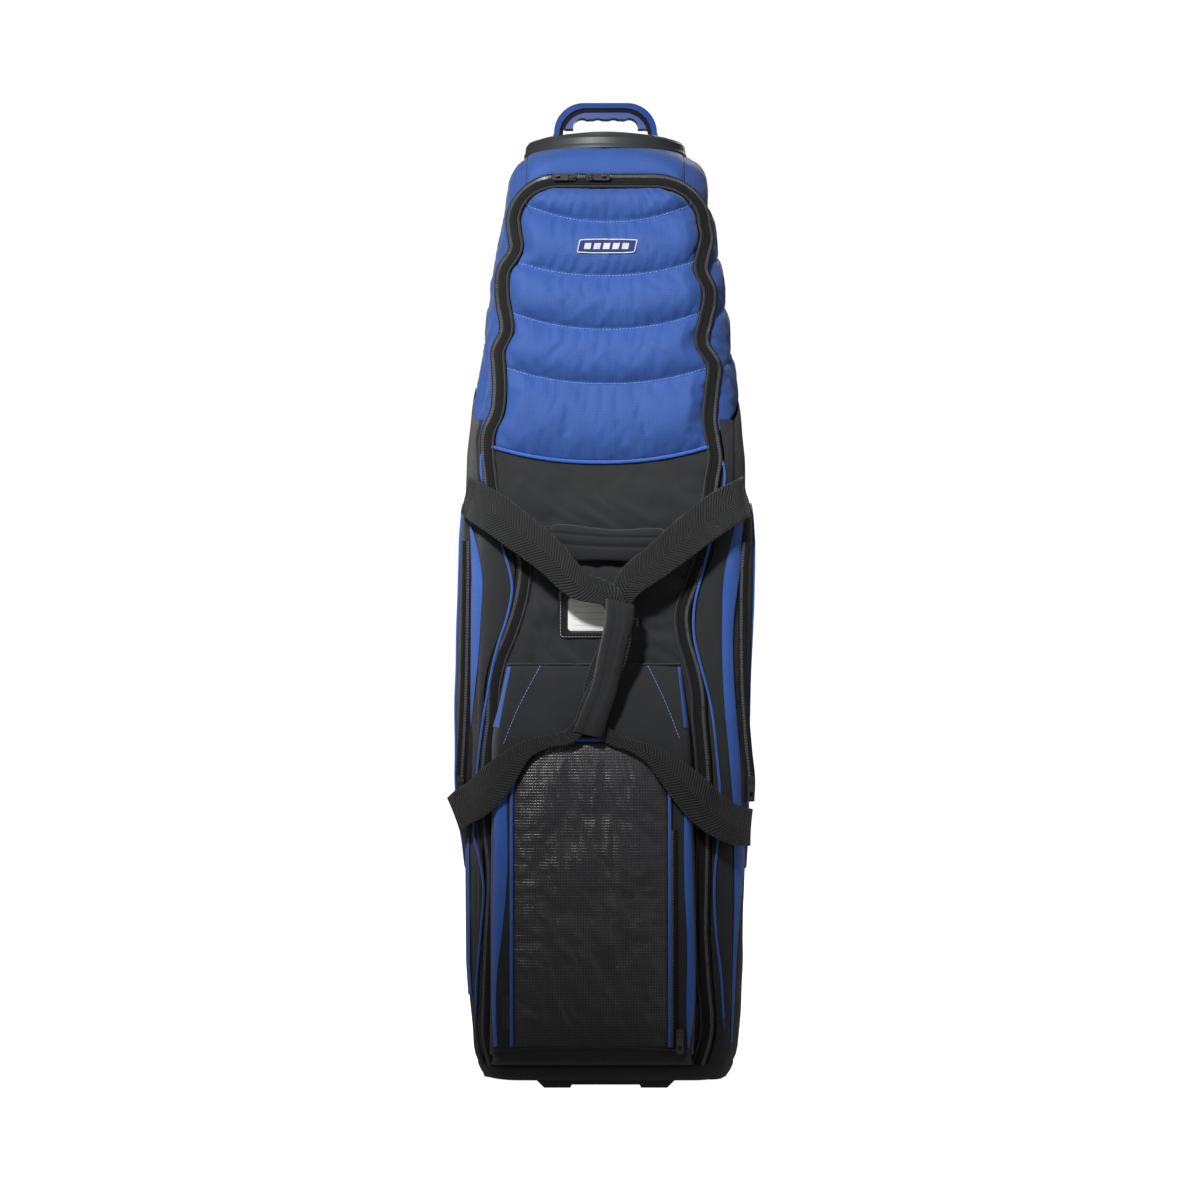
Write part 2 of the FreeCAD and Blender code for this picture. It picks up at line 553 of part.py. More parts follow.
# ---- wheels and base ----------------------------------------------------------------------
def wheel_set():
    """The right-hand wheel, its bearings, bolt, nut and housing."""
    centre = V(WHEEL_X, WHEEL_Y, WHEEL_R)
    w = WHEEL_W / 2
    tread = [(WHEEL_R - 14, -w + 1.5), (WHEEL_R - 8, -w), (WHEEL_R - 3.5, -w + 2), (WHEEL_R - 0.8, -w + 7),
             (WHEEL_R, -3), (WHEEL_R, 3), (WHEEL_R - 0.8, w - 7), (WHEEL_R - 3.5, w - 2), (WHEEL_R - 8, w),
             (WHEEL_R - 14, w - 1.5)]
    tyre = turned(tread, centre, X_AXIS)
    seat = w - 1 - BEARING_W
    hub = turned([(BEARING_R, -w + 1), (14.5, -w + 1), (15, -6), (WHEEL_R - 14, -6), (WHEEL_R - 14, 6), (15, 6),
                  (14.5, w - 1), (BEARING_R, w - 1), (BEARING_R, seat), (BEARING_R - 2, seat),
                  (BEARING_R - 2, -seat), (BEARING_R, -seat)], centre, X_AXIS)
    for i in range(6):
        a = math.radians(60 * i)
        at = centre + V(-10, 19.5 * math.cos(a), 19.5 * math.sin(a))
        hub = hub.cut(cylinder(2.6, 20, at, X_AXIS))
    rings = []
    for end in (-1, 1):
        low = seat if end > 0 else -seat - BEARING_W
        ring = [(AXLE_R + AXLE_GAP, low), (BEARING_R, low), (BEARING_R, low + BEARING_W),
                (AXLE_R + AXLE_GAP, low + BEARING_W)]
        rings.append(turned(ring, centre, X_AXIS))

    half = w + WHEEL_CLEAR + HOUSING_WALL
    depth_front = WHEEL_R + 11
    housing = box((WHEEL_X - half, WHEEL_X + half), (WHEEL_Y - depth_front, WHEEL_Y + 30),
                  (TRAY_BOTTOM, HOUSING_TOP - 1))
    housing = fillet_or_keep(housing, 20, lambda e: e.BoundBox.XLength > 30 and e.BoundBox.ZMin > 60)
    bore = cylinder(WHEEL_R + 4, WHEEL_W + 2 * WHEEL_CLEAR, centre - V(w + WHEEL_CLEAR, 0, 0), X_AXIS)
    slot = box((WHEEL_X - w - WHEEL_CLEAR, WHEEL_X + w + WHEEL_CLEAR), (WHEEL_Y - WHEEL_R - 4, WHEEL_Y + 60),
               (0, WHEEL_R))
    back = box((WHEEL_X - w - WHEEL_CLEAR, WHEEL_X + w + WHEEL_CLEAR), (WHEEL_Y, WHEEL_Y + 60),
               (0, WHEEL_R + WHEEL_R + 4))
    housing = housing.cut(bore).cut(slot).cut(back)
    axle_start = centre - V(half + 8, 0, 0)
    axle = cylinder(AXLE_R, 2 * half + 8, axle_start, X_AXIS)
    housing = housing.cut(cylinder(AXLE_R, 2 * half + 20, centre - V(half + 10, 0, 0), X_AXIS))
    head = hexagon(7, 4.5, centre + V(half, 0, 0), X_AXIS)
    axle = axle.fuse(head)
    nut = hexagon(7, 6, centre - V(half + 6, 0, 0), X_AXIS)
    nut = nut.cut(cylinder(AXLE_R, 20, centre - V(half + 12, 0, 0), X_AXIS))
    for low, high in ((-w - WHEEL_CLEAR, -w + 0.6), (w - 0.6, w + WHEEL_CLEAR)):
        ring = cylinder(6.2, high - low, centre + V(low, 0, 0), X_AXIS)
        housing = housing.fuse(ring.cut(cylinder(AXLE_R, high - low, centre + V(low, 0, 0), X_AXIS)))
    return {
        "wheel_tyre": tyre,
        "wheel_hub": hub,
        "wheel_bearings": Part.Compound(rings),
        "wheel_axle": axle,
        "axle_nut": nut,
        "wheel_housing": housing,
    }


def base():
    """Moulded tray with its kick plate, the inner board, the front stand and the rivets."""
    footprint = Part.Face(section_wire(TRAY_BOTTOM, 158, -148, 150, 40)).extrude(V(0, 0, TRAY_T))
    tray = fillet_or_keep(footprint, 3, lambda e: e.BoundBox.ZMax < TRAY_BOTTOM + 0.1)
    kick_body = body_solid(4.5).cut(body_solid(0.4, 5))
    kick = kick_body.common(box((-150, 150), (60, 400), (BODY_BOTTOM, KICK_TOP)))
    ribs = []
    for i in range(-2, 3):
        ribs.append(box((i * 38 - 5, i * 38 + 5), (158.4, 165.5), (30, KICK_TOP - 22)))
    for rib in ribs:
        kick = kick.fuse(rib.cut(body_solid(1.0, 5)))
    link = body_solid(4.5).cut(body_solid(0.4, 5)).common(box((-98, 98), (100, 400), (BODY_BOTTOM, BODY_BOTTOM + 6)))
    shelf = box((-98, 98), (140, 156), (TRAY_BOTTOM, BODY_BOTTOM - 0.3))
    tray = tray.fuse(shelf).fuse(kick.fuse(link).cut(wheel_notches(0.3)))
    bridge = box((-98, 98), (152.6, 158.0), (TRAY_BOTTOM, BODY_BOTTOM + 4)).cut(body_solid(0.4, 5))
    tray = tray.fuse(bridge).cut(wheel_notches(0.3)).removeSplitter()
    board = Part.Face(section_wire(BODY_BOTTOM + 0.5, 146, -137, 132, 34)).extrude(V(0, 0, 5))
    board = board.cut(wheel_notches(1.0))
    stand = plate_xz([(-STAND_X, TRAY_BOTTOM - 0.1), (-FOOT_OUT, 0), (-FOOT_IN, 0), (-FOOT_IN + 2, 4),
                      (FOOT_IN - 2, 4), (FOOT_IN, 0), (FOOT_OUT, 0), (STAND_X, TRAY_BOTTOM - 0.1)], STAND_Y)
    rivets = []
    for x in (-86, -30, 30, 86):
        for y in (-60, 60):
            rivets.append(cylinder(5, 1.6, V(x, y, TRAY_BOTTOM - 1.7), Z_AXIS))
    return {"base_tray": tray, "base_board": board, "front_stand": stand, "base_rivets": Part.Compound(rivets)}


# ---- zip sliders --------------------------------------------------------------------------
def slider():
    """A slider lying on the XZ plane with its travel along X: the body, and the bridge over it."""
    body = plate_xz([(-6, -3), (-3, -5), (5, -4.2), (6, 0), (5, 4.2), (-3, 5), (-6, 3)], (-3.2, 0))
    bridge = box((-4, 4), (-6.6, -3.2), (-1.2, 1.2))
    bridge = bridge.cut(cylinder(1.4, 10, V(0, -4.7, -5), Z_AXIS))
    return body.fuse(bridge)


def pull_tab(length):
    """A tab lying along -X, hung on a pin that crosses under the slider's bridge."""
    pin = cylinder(1.1, 7.2, V(0, -4.7, -3.6), Z_AXIS)
    arms = box((-6, 0.8), (-5.6, -3.8), (-3.6, -2.4)).fuse(box((-6, 0.8), (-5.6, -3.8), (2.4, 3.6)))
    tab = box((-length, -5), (-5.6, -3.8), (-4.5, 4.5))
    tab = fillet_or_keep(tab, 3.5, lambda e: e.BoundBox.YLength > 1.7 and e.BoundBox.XMax < -length + 1)
    tab = tab.cut(box((-length + 5, -length + 11), (-7, -2), (-2.2, 2.2)))
    return pin.fuse(arms).fuse(tab)


def placed(shape, at, spin_y):
    """A slider part turned about the outward axis and moved to its place."""
    copy = shape.copy()
    copy.rotate(V(0, 0, 0), Y_AXIS, spin_y)
    copy.translate(at)
    return copy


def zip_sliders():
    """Every slider with its pull. Those of the main zip travel along X, and the others along Z."""
    parts = {}
    y_main = body_at(MAIN_SLIDER_Z - TAPE_W)[1] - TAPE_T - 0.6
    for name, x, spin in (("left", MAIN_SLIDER_X[0], 0), ("right", MAIN_SLIDER_X[1], 180)):
        at = V(x, y_main, MAIN_SLIDER_Z)
        parts["main_slider_" + name] = placed(slider(), at, spin)
        parts["main_pull_" + name] = placed(pull_tab(PULL_L), at, spin)
    at = V(FRONT_SLIDER_X, POCKET_FRONT_Y - 2.2, FRONT_SLIDER_Z)
    parts["front_pocket_slider"] = placed(slider(), at, -90)
    parts["front_pocket_pull"] = placed(pull_tab(PULL_L), at, -90)
    at = V(SIDE_ZIP_X, SIDE_POCKET_Y[0] - 2.8, SIDE_SLIDER_Z)
    for side, x in (("right", SIDE_ZIP_X), ("left", -SIDE_ZIP_X)):
        at = V(x, SIDE_POCKET_Y[0] - 2.8, SIDE_SLIDER_Z)
        parts["side_slider_" + side] = placed(slider(), at, -90)
        parts["side_pull_" + side] = placed(pull_tab(PULL_L), at, -90)
    return parts


# ---- inside -------------------------------------------------------------------------------
def inside():
    """Back pad, and a cinch strap with a side-release buckle."""
    pad = box((-118, 118), (140, 146), (100, 800))
    z, y0 = INNER_STRAP_Z, INNER_STRAP_Y
    y, zz = (y0 - INNER_T, y0), (z - INNER_W / 2, z + INNER_W / 2)
    webs = [box((-INNER_HALF_W, -26), y, zz), box((30.5, INNER_HALF_W), y, zz)]
    socket = box((-1, 30), (y0 - 8, y0 + 3), (z - 23, z + 23))
    socket = fillet_or_keep(socket, 3, lambda e: e.BoundBox.XLength > 20)
    socket = socket.cut(box((-2, 24), (y0 - 5.6, y0 + 0.6), (z - 18.4, z + 18.4)))
    tongue = box((-25, -2), (y0 - 8, y0 + 3), (z - 22, z + 22))
    tongue = fillet_or_keep(tongue, 3, lambda e: e.BoundBox.XLength > 20)
    tongue = tongue.cut(box((-30, 0), (y0 - 2.2, y0 + 0.6), (z - 19.6, z + 19.6)))
    for low, high, tip in ((-18, -12, 20), (-3, 3, 14), (12, 18, 20)):
        tongue = tongue.fuse(box((-3, tip), (y0 - 5, y0 - 2.4), (z + low, z + high)))
    return {"back_pad": pad, "cinch_strap": Part.Compound(webs), "buckle_socket": socket, "buckle_tongue": tongue}


def pair(shape):
    """A right-hand piece and its left-hand copy, as one node."""
    return Part.Compound([shape, mirrored(shape)])


def build():
    """Every piece by name."""
    parts = {}
    parts.update(soft_body())
    parts.update(main_zip())
    parts["side_pockets"], parts["side_zips"] = pair(side_pocket()), pair(side_zip())
    parts.update(front_pocket())
    parts.update(id_holder())
    parts.update(grab_handle())
    parts.update(carry_straps())
    parts.update(hard_top())
    parts.update(swivel_handle())
    for name, shape in wheel_set().items():
        if name in ("wheel_axle", "axle_nut", "wheel_housing"):
            parts[name + "s"] = pair(shape)
        else:
            parts[name + "_right"], parts[name + "_left"] = shape, mirrored(shape)
    parts.update(base())
    parts.update(zip_sliders())
    parts.update(inside())
    return parts


def export(parts):
    os.makedirs("parts", exist_ok=True)
    for old in os.listdir("parts"):
        os.remove(os.path.join("parts", old))
    for name, shape in sorted(parts.items()):
        solids = [s for s in shape.Solids if s.Volume > 1.0]
        if not solids:
            raise ValueError(name + " has no solid")
        whole = (solids[0] if len(solids) == 1 else Part.Compound(solids)).copy()
        whole.translate(V(0, ROW_Y, 0))
        whole.exportStep("parts/" + name + ".step")
        b = whole.BoundBox
        print("%-24s %2d solids %10.0f mm3 valid %s  x %.1f %.1f y %.1f %.1f z %.1f %.1f" % (
            name, len(solids), sum(s.Volume for s in solids), whole.isValid(),
            b.XMin, b.XMax, b.YMin, b.YMax, b.ZMin, b.ZMax))


export(build())
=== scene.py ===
"""Looks of the wheeled golf travel case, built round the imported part. Lengths here are in millimetres, with Y from
the swivel handle's axis, until metres() takes them into the row's frame."""

import math

import bmesh
import bpy
import numpy as np
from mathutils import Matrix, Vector, noise
from mathutils.bvhtree import BVHTree


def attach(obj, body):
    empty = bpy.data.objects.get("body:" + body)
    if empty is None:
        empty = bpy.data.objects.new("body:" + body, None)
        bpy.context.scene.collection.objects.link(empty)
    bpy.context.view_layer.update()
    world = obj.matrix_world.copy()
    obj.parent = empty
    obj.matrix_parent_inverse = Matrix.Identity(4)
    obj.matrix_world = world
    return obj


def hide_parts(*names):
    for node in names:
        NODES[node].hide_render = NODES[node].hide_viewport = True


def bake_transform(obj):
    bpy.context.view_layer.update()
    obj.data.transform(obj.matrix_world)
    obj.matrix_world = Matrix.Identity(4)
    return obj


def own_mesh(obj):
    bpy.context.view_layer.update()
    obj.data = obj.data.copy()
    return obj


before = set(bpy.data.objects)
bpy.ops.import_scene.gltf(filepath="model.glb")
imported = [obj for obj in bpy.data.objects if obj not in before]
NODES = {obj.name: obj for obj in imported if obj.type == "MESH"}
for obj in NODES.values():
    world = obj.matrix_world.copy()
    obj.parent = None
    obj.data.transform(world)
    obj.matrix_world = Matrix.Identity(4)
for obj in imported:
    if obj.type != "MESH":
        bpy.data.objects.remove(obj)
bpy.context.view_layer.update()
MM = 0.001
SIM = []  # cloth panels waiting to be simulated
ROW_Y = 20.0  # the handle's axis in the row's frame


def metres(points):
    """Rows of points in the row's frame."""
    return (np.asarray(points, float).reshape(-1, 3) + [0, ROW_Y, 0]) * MM


def label_of(side):
    """The name of the side that a sign of X stands for."""
    return "right" if side > 0 else "left"


def unit(v):
    """Vectors brought to length 1."""
    return v / (np.linalg.norm(v, axis=-1, keepdims=True) + 1e-9)


def run_of(path):
    """The length along a path at each of its points."""
    return np.concatenate([[0], np.cumsum(np.linalg.norm(np.diff(path, axis=0), axis=1))])


def along(path, run, t):
    """The points of a path at the lengths t."""
    return np.stack([np.interp(t, run, column) for column in np.asarray(path).T], -1)


def pair(a, b):
    """Two arrays as places (a, b), such as the UV of a sheet in millimetres."""
    return np.stack(np.broadcast_arrays(a, b), -1)


def front_view(x, z):
    """Places in the plane y = 0, to draw noise at."""
    return np.stack([x, 0 * x, z], -1)


def lattice(rows, cols):
    """u across and v up a sheet, both from 0 to 1."""
    return np.meshgrid(np.linspace(0, 1, cols), np.linspace(0, 1, rows))


def rise(u, width, power=1.0):
    """0 at both ends of u, rising to 1 over a share of the width."""
    return np.clip(np.minimum(u, 1 - u) / width, 0, 1) ** power


def rim(u, v, share=0.01, share_v=0.01):
    """True on the outermost rows and columns of a sheet."""
    return (u < share) | (u > 1 - share) | (v < share_v) | (v > 1 - share_v)


# ---- the body's surface ------------------------------------------------------------------
SECTIONS = np.array([
    (0.0, 153, -146, 148, 36), (18.3, 160, -150, 152, 40), (45, 172, -158, 156, 45), (160, 179, -162, 158, 48),
    (640, 182, -162, 158, 50), (820, 181, -162, 156, 50), (930, 170, -158, 150, 52), (1060, 156, -147, 140, 55),
    (1150, 140, -132, 126, 60), (1197, 133, -122, 118, 64), (1214, 124, -114, 112, 74), (1225, 106, -105, 105, 96),
    (1240, 102, -102, 102, 98)], float)
ZS = np.arange(0.0, 1241.0, 1.0)


def smooth(values, width):
    """A running mean that keeps both ends."""
    kernel = np.ones(width) / width
    padded = np.concatenate([2 * values[0] - values[width:0:-1], values,
                             2 * values[-1] - values[-2:-width - 2:-1]])
    for _ in range(2):
        padded = np.convolve(padded, kernel, "same")
    return padded[width:-width]


SHAPE = [smooth(np.interp(ZS, SECTIONS[:, 0], SECTIONS[:, k]), 13) for k in (1, 2, 3, 4)]


def body(z):
    """Half width, front y, back y and corner radius at height z."""
    return [np.interp(z, ZS, column) for column in SHAPE]


def surf(s, z, out=0.0):
    """Points on the body wall. s runs round the wall from the middle of the front, + towards +X."""
    s, z = np.broadcast_arrays(np.asarray(s, float), np.asarray(z, float))
    w, front, back, r = body(z)
    side = np.where(s < 0, -1.0, 1.0)
    a = np.abs(s)
    flat, quarter, depth = w - r, r * np.pi / 2, back - front - 2 * r
    x, y = a.copy(), front.copy()
    nx, ny = np.zeros_like(a), -np.ones_like(a)
    t = (a - flat) / r
    m = (a > flat) & (a <= flat + quarter)
    x, y = np.where(m, flat + r * np.sin(t), x), np.where(m, front + r - r * np.cos(t), y)
    nx, ny = np.where(m, np.sin(t), nx), np.where(m, -np.cos(t), ny)
    b = a - flat - quarter
    m = (b > 0) & (b <= depth)
    x, y = np.where(m, w, x), np.where(m, front + r + b, y)
    nx, ny = np.where(m, 1.0, nx), np.where(m, 0.0, ny)
    c = b - depth
    m = (c > 0) & (c <= quarter)
    x, y = np.where(m, flat + r * np.cos(c / r), x), np.where(m, back - r + r * np.sin(c / r), y)
    nx, ny = np.where(m, np.cos(c / r), nx), np.where(m, np.sin(c / r), ny)
    d = c - quarter
    m = d > 0
    x, y = np.where(m, flat - d, x), np.where(m, back, y)
    nx, ny = np.where(m, 0.0, nx), np.where(m, 1.0, ny)
    # lean of the wall
    dz = 2.0
    w2, f2, b2, _ = body(z + dz)
    w1, f1, b1, _ = body(z - dz)
    nz = -(np.abs(nx) * (w2 - w1) + np.where(ny < 0, -ny * -(f2 - f1), ny * (b2 - b1))) / (2 * dz)
    n = np.stack([nx * side, ny, nz], -1)
    n /= np.linalg.norm(n, axis=-1, keepdims=True)
    p = np.stack([x * side, y, z], -1)
    return p + n * np.asarray(out, float)[..., None]


def s_of_x(x, z):
    """Where a point seen at x from the front lies round the wall."""
    x, z = np.broadcast_arrays(np.asarray(x, float), np.asarray(z, float))
    w, front, back, r = body(z)
    flat = w - r
    over = np.clip((np.abs(x) - flat) / r, 0, 0.999)
    return np.sign(x) * np.where(np.abs(x) <= flat, np.abs(x), flat + r * np.arcsin(over))


def s_side(y, z):
    """Where the right-hand wall is y behind the middle."""
    w, front, back, r = body(z)
    t = np.arccos(np.clip((front + r - y) / r, -1, 1))
    c = np.arcsin(np.clip((y - (back - r)) / r, 0, 1))
    depth = back - front - 2 * r
    corner = w - r + r * np.pi / 2
    return np.where(y < front + r, w - r + r * t, np.where(y > back - r, corner + depth + r * c,
                                                            corner + (y - front - r)))


def half_round(z):
    """Half of the wall's perimeter."""
    w, front, back, r = body(z)
    return 2 * (w - r) + np.pi * r + (back - front - 2 * r)


def spline(points, z):
    """Smooth interpolation of (z, value) pairs."""
    p = np.array(points, float)
    order = np.argsort(p[:, 0])
    p = p[order]
    z = np.asarray(z, float)
    m = np.gradient(p[:, 1], p[:, 0])
    i = np.clip(np.searchsorted(p[:, 0], z) - 1, 0, len(p) - 2)
    h = p[i + 1, 0] - p[i, 0]
    t = np.clip((z - p[i, 0]) / h, 0, 1)
    return ((2 * t**3 - 3 * t**2 + 1) * p[i, 1] + (t**3 - 2 * t**2 + t) * h * m[i]
            + (-2 * t**3 + 3 * t**2) * p[i + 1, 1] + (t**3 - t**2) * h * m[i + 1])


# the main zip's coil, seen from the front: (height, x)
ZIP_LEFT = [(28, -149), (60, -157), (122, -157), (203, -154), (286, -151), (340, -156), (435, -157), (476, -152),
            (530, -149), (563, -141), (590, -130), (639, -115), (686, -112), (724, -128), (763, -150), (800, -156),
            (823, -158), (855, -156), (875, -147), (907, -143), (935, -144), (957, -145), (984, -134), (1015, -138),
            (1035, -140), (1066, -137), (1092, -122), (1110, -124), (1127, -126)]
ZIP_RIGHT = [(28, 124), (68, 135), (149, 132), (203, 129), (275, 130), (422, 131), (481, 126), (519, 124),
             (551, 117), (585, 107), (615, 104), (661, 119), (690, 130), (730, 137), (766, 140), (790, 143),
             (818, 147), (840, 144), (867, 140), (905, 143), (944, 144), (966, 131), (996, 135), (1020, 140),
             (1038, 140), (1066, 129), (1082, 132), (1110, 137), (1127, 134)]
ZIP_TOP, ZIP_CORNER = 1186.0, 59.0


def zip_x(side, z, inset=0.0):
    """The zip's x on one side at height z, with its rounded top corner, moved in by inset."""
    z = np.asarray(z, float)
    run = spline(ZIP_RIGHT if side > 0 else ZIP_LEFT, np.minimum(z, 1127))
    edge = np.abs(run) - inset
    rz = ZIP_CORNER - inset
    up = np.clip((z - 1127) / rz, 0, 1)
    rx = abs(float(spline(ZIP_RIGHT if side > 0 else ZIP_LEFT, 1127.0))) - inset - 62.0
    return side * (edge - rx * (1 - np.sqrt(1 - up**2)))


# stitched arcs across the quilt: (middle height, end height)
ARCS = [(812, 832), (914, 935), (985, 1007), (1055, 1074), (1126, 1150)]


# ---- mesh helpers ------------------------------------------------------------------------
def link(name, mesh, smooth_shade=True):
    """A mesh as an object of the scene."""
    obj = bpy.data.objects.new(name, mesh)
    bpy.context.scene.collection.objects.link(obj)
    if smooth_shade:
        for p in mesh.polygons:
            p.use_smooth = True
    return obj


def grid(name, points, uv=None, wrap=False):
    """A sheet through rows x columns of points. uv is in millimetres and becomes metres."""
    rows, cols = points.shape[:2]
    mesh = bpy.data.meshes.new(name)
    index = np.arange(rows * cols).reshape(rows, cols)
    last = cols if wrap else cols - 1
    faces, corners = [], []
    for j in range(last):
        k = (j + 1) % cols
        a, b, c, d = index[:-1, j], index[:-1, k], index[1:, k], index[1:, j]
        faces.append(np.stack([a, b, c, d], -1))
    faces = np.concatenate(faces)
    mesh.from_pydata(metres(points).tolist(), [], faces.tolist())
    if uv is not None:
        layer = mesh.uv_layers.new(name="weave")
        flat = uv.reshape(-1, 2) * MM
        loops = np.empty(len(mesh.loops), int)
        mesh.loops.foreach_get("vertex_index", loops)
        layer.data.foreach_set("uv", flat[loops].ravel())
    return link(name, mesh)


def tube(name, path, radius, sides=8):
    """A round cord along a path of points."""
    p = np.asarray(path, float)
    d = unit(np.gradient(p, axis=0))
    n = unit(np.cross(d, [0, 1.0, 0.0]))
    b = np.cross(d, n)
    r = np.broadcast_to(np.asarray(radius, float), (len(p),))
    ang = np.arange(sides) * 2 * np.pi / sides
    turn = np.cos(ang)[None, :, None] * n[:, None] + np.sin(ang)[None, :, None] * b[:, None]
    obj = grid(name, p[:, None] + turn * r[:, None, None],
               pair(ang * r.mean(), run_of(p)[:, None]), wrap=True)
    bm = bmesh.new()
    bm.from_mesh(obj.data)
    bm.verts.ensure_lookup_table()
    for row in (0, len(p) - 1):
        ring = [bm.verts[row * sides + k] for k in range(sides)]
        bm.faces.new(ring if row else ring[::-1])
    bm.to_mesh(obj.data)
    bm.free()
    return obj


def ribbon(name, centre, across, thickness, cols=9, crown=0.0):
    """Webbing: centre points, across vectors of half the width, as a closed band with rounded edges."""
    c, a = np.asarray(centre, float), np.asarray(across, float)
    n = unit(np.cross(unit(np.gradient(c, axis=0)), a))
    u = np.linspace(-1, 1, cols)
    h = thickness / 2
    half = np.linalg.norm(a, axis=1)
    top = c[:, None] + a[:, None] * u[None, :, None] + n[:, None] * (h + crown * (1 - u**2))[None, :, None]
    low = (c[:, None] + a[:, None] * u[None, ::-1, None]
           - n[:, None] * (h - crown * (1 - u[::-1]**2))[None, :, None])
    edge1 = c[:, None] + a[:, None] * (1 + h / half)[:, None, None]
    edge2 = c[:, None] - a[:, None] * (1 + h / half)[:, None, None]
    pts = np.concatenate([top, edge1, low, edge2], 1)
    around = np.concatenate([u, [1.04], u[::-1], [-1.04]])
    return grid(name, pts, pair(around * half[:, None], run_of(c)[:, None]), wrap=True)


def join(name, objects):
    """Several meshes as one."""
    bpy.ops.object.select_all(action="DESELECT")
    for o in objects:
        o.select_set(True)
    bpy.context.view_layer.objects.active = objects[0]
    bpy.ops.object.join()
    out = bpy.context.view_layer.objects.active
    out.name = name
    out.data.name = name
    return out


def paint(obj, key):
    """Gives an object one of the materials in M."""
    obj.data.materials.clear()
    obj.data.materials.append(M[key])
    return obj


def place(obj, owner, *nodes):
    """Rides on a body, and stands for CAD nodes."""
    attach(obj, owner)
    if nodes:
        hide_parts(*nodes)
    return obj


# ---- materials ---------------------------------------------------------------------------
class Shader:
    """A small helper for building node trees."""

    def __init__(self, name):
        self.mat = bpy.data.materials.new(name)
        self.mat.use_nodes = True
        self.tree = self.mat.node_tree
        self.tree.nodes.clear()
        self.bsdf = self.node("ShaderNodeBsdfPrincipled")
        self.tree.links.new(self.bsdf.outputs[0], self.node("ShaderNodeOutputMaterial").inputs[0])

    def node(self, kind, **values):
        n = self.tree.nodes.new(kind)
        for key, value in values.items():
            setattr(n, key, value)
        return n

    def put(self, socket, value):
        if isinstance(value, bpy.types.NodeSocket):
            self.tree.links.new(value, socket)
        elif value is not None:
            socket.default_value = value

    def math(self, op, *values, clamp=False):
        n = self.node("ShaderNodeMath", operation=op, use_clamp=clamp)
        for socket, value in zip(n.inputs, values):
            self.put(socket, value)
        return n.outputs[0]

    def add(self, a, b, clamp=False):
        return self.math("ADD", a, b, clamp=clamp)

    def times(self, a, b):
        return self.math("MULTIPLY", a, b)

    def mix(self, factor, a, b):
        n = self.node("ShaderNodeMix", data_type="RGBA")
        self.put(n.inputs[0], factor)
        self.put(n.inputs[6], a)
        self.put(n.inputs[7], b)
        return n.outputs[2]

    def uv(self):
        n = self.node("ShaderNodeUVMap", uv_map="weave")
        s = self.node("ShaderNodeSeparateXYZ")
        self.put(s.inputs[0], n.outputs[0])
        return s.outputs[0], s.outputs[1]

    def noise(self, scale, detail):
        n = self.node("ShaderNodeTexNoise")
        n.inputs["Scale"].default_value = scale
        n.inputs["Detail"].default_value = detail
        n.inputs["Roughness"].default_value = 0.55
        self.put(n.inputs["Vector"], self.node("ShaderNodeTexCoord").outputs["Object"])
        return n.outputs[0]

    def bump(self, height, distance, strength=1.0, below=None):
        n = self.node("ShaderNodeBump")
        n.inputs["Strength"].default_value = strength
        n.inputs["Distance"].default_value = distance
        self.put(n.inputs["Height"], height)
        if below is not None:
            self.put(n.inputs["Normal"], below)
        return n.outputs[0]

    def finish(self, color=None, rough=None, normal=None, metal=0.0, spec=0.5, sheen=0.0, coat=0.0):
        for socket, value in {"Base Color": color, "Roughness": rough, "Normal": normal, "Metallic": metal,
                              "Specular IOR Level": spec, "Sheen Weight": sheen, "Sheen Roughness": 0.5,
                              "Coat Weight": coat, "Coat Roughness": 0.12}.items():
            self.put(self.bsdf.inputs[socket], value)
        return self.mat


def rgb(r, g, b):
    """An sRGB colour in 0..255 as linear RGBA."""
    def lin(v):
        v /= 255.0
        return v / 12.92 if v <= 0.04045 else ((v + 0.055) / 1.055) ** 2.4
    return (lin(r), lin(g), lin(b), 1.0)


def wave(sh, value, pitch_mm):
    """A sine of a UV coordinate with a period in millimetres."""
    return sh.math("SINE", sh.times(value, 2 * math.pi / (pitch_mm * MM)))


def dobby_cloth(name, low, high, pitch=3.0, rough=0.62):
    """Nylon with a small raised diamond in the weave."""
    sh = Shader(name)
    u, v = sh.uv()
    diamond = sh.times(wave(sh, sh.add(u, v), pitch * 1.41), wave(sh, sh.math("SUBTRACT", u, v), pitch * 1.41))
    fine = sh.times(wave(sh, u, 0.8), wave(sh, v, 0.8))
    blotch = sh.noise(28, 4)
    height = sh.add(sh.times(diamond, 0.5), sh.times(fine, 0.25))
    fac = sh.add(sh.math("MULTIPLY_ADD", diamond, 0.22, 0.30), sh.times(blotch, 0.4), clamp=True)
    n = sh.bump(height, 0.00028, 0.8, sh.bump(blotch, 0.0012, 0.5))
    return sh.finish(sh.mix(fac, low, high), sh.math("MULTIPLY_ADD", diamond, -0.1, rough), n, spec=0.35, sheen=0.15)


def plain_cloth(name, low, high, pitch=1.1, rough=0.8, sheen=0.2):
    """Plain woven polyester."""
    sh = Shader(name)
    u, v = sh.uv()
    weave = sh.times(wave(sh, u, pitch), wave(sh, v, pitch))
    speck, blotch = sh.noise(900, 2), sh.noise(22, 5)
    fac = sh.add(sh.times(speck, 0.6), sh.times(blotch, 0.5), clamp=True)
    n = sh.bump(sh.add(weave, speck), 0.0003, 0.7, sh.bump(blotch, 0.0016, 0.6))
    return sh.finish(sh.mix(fac, low, high), rough, n, spec=0.25, sheen=sheen)


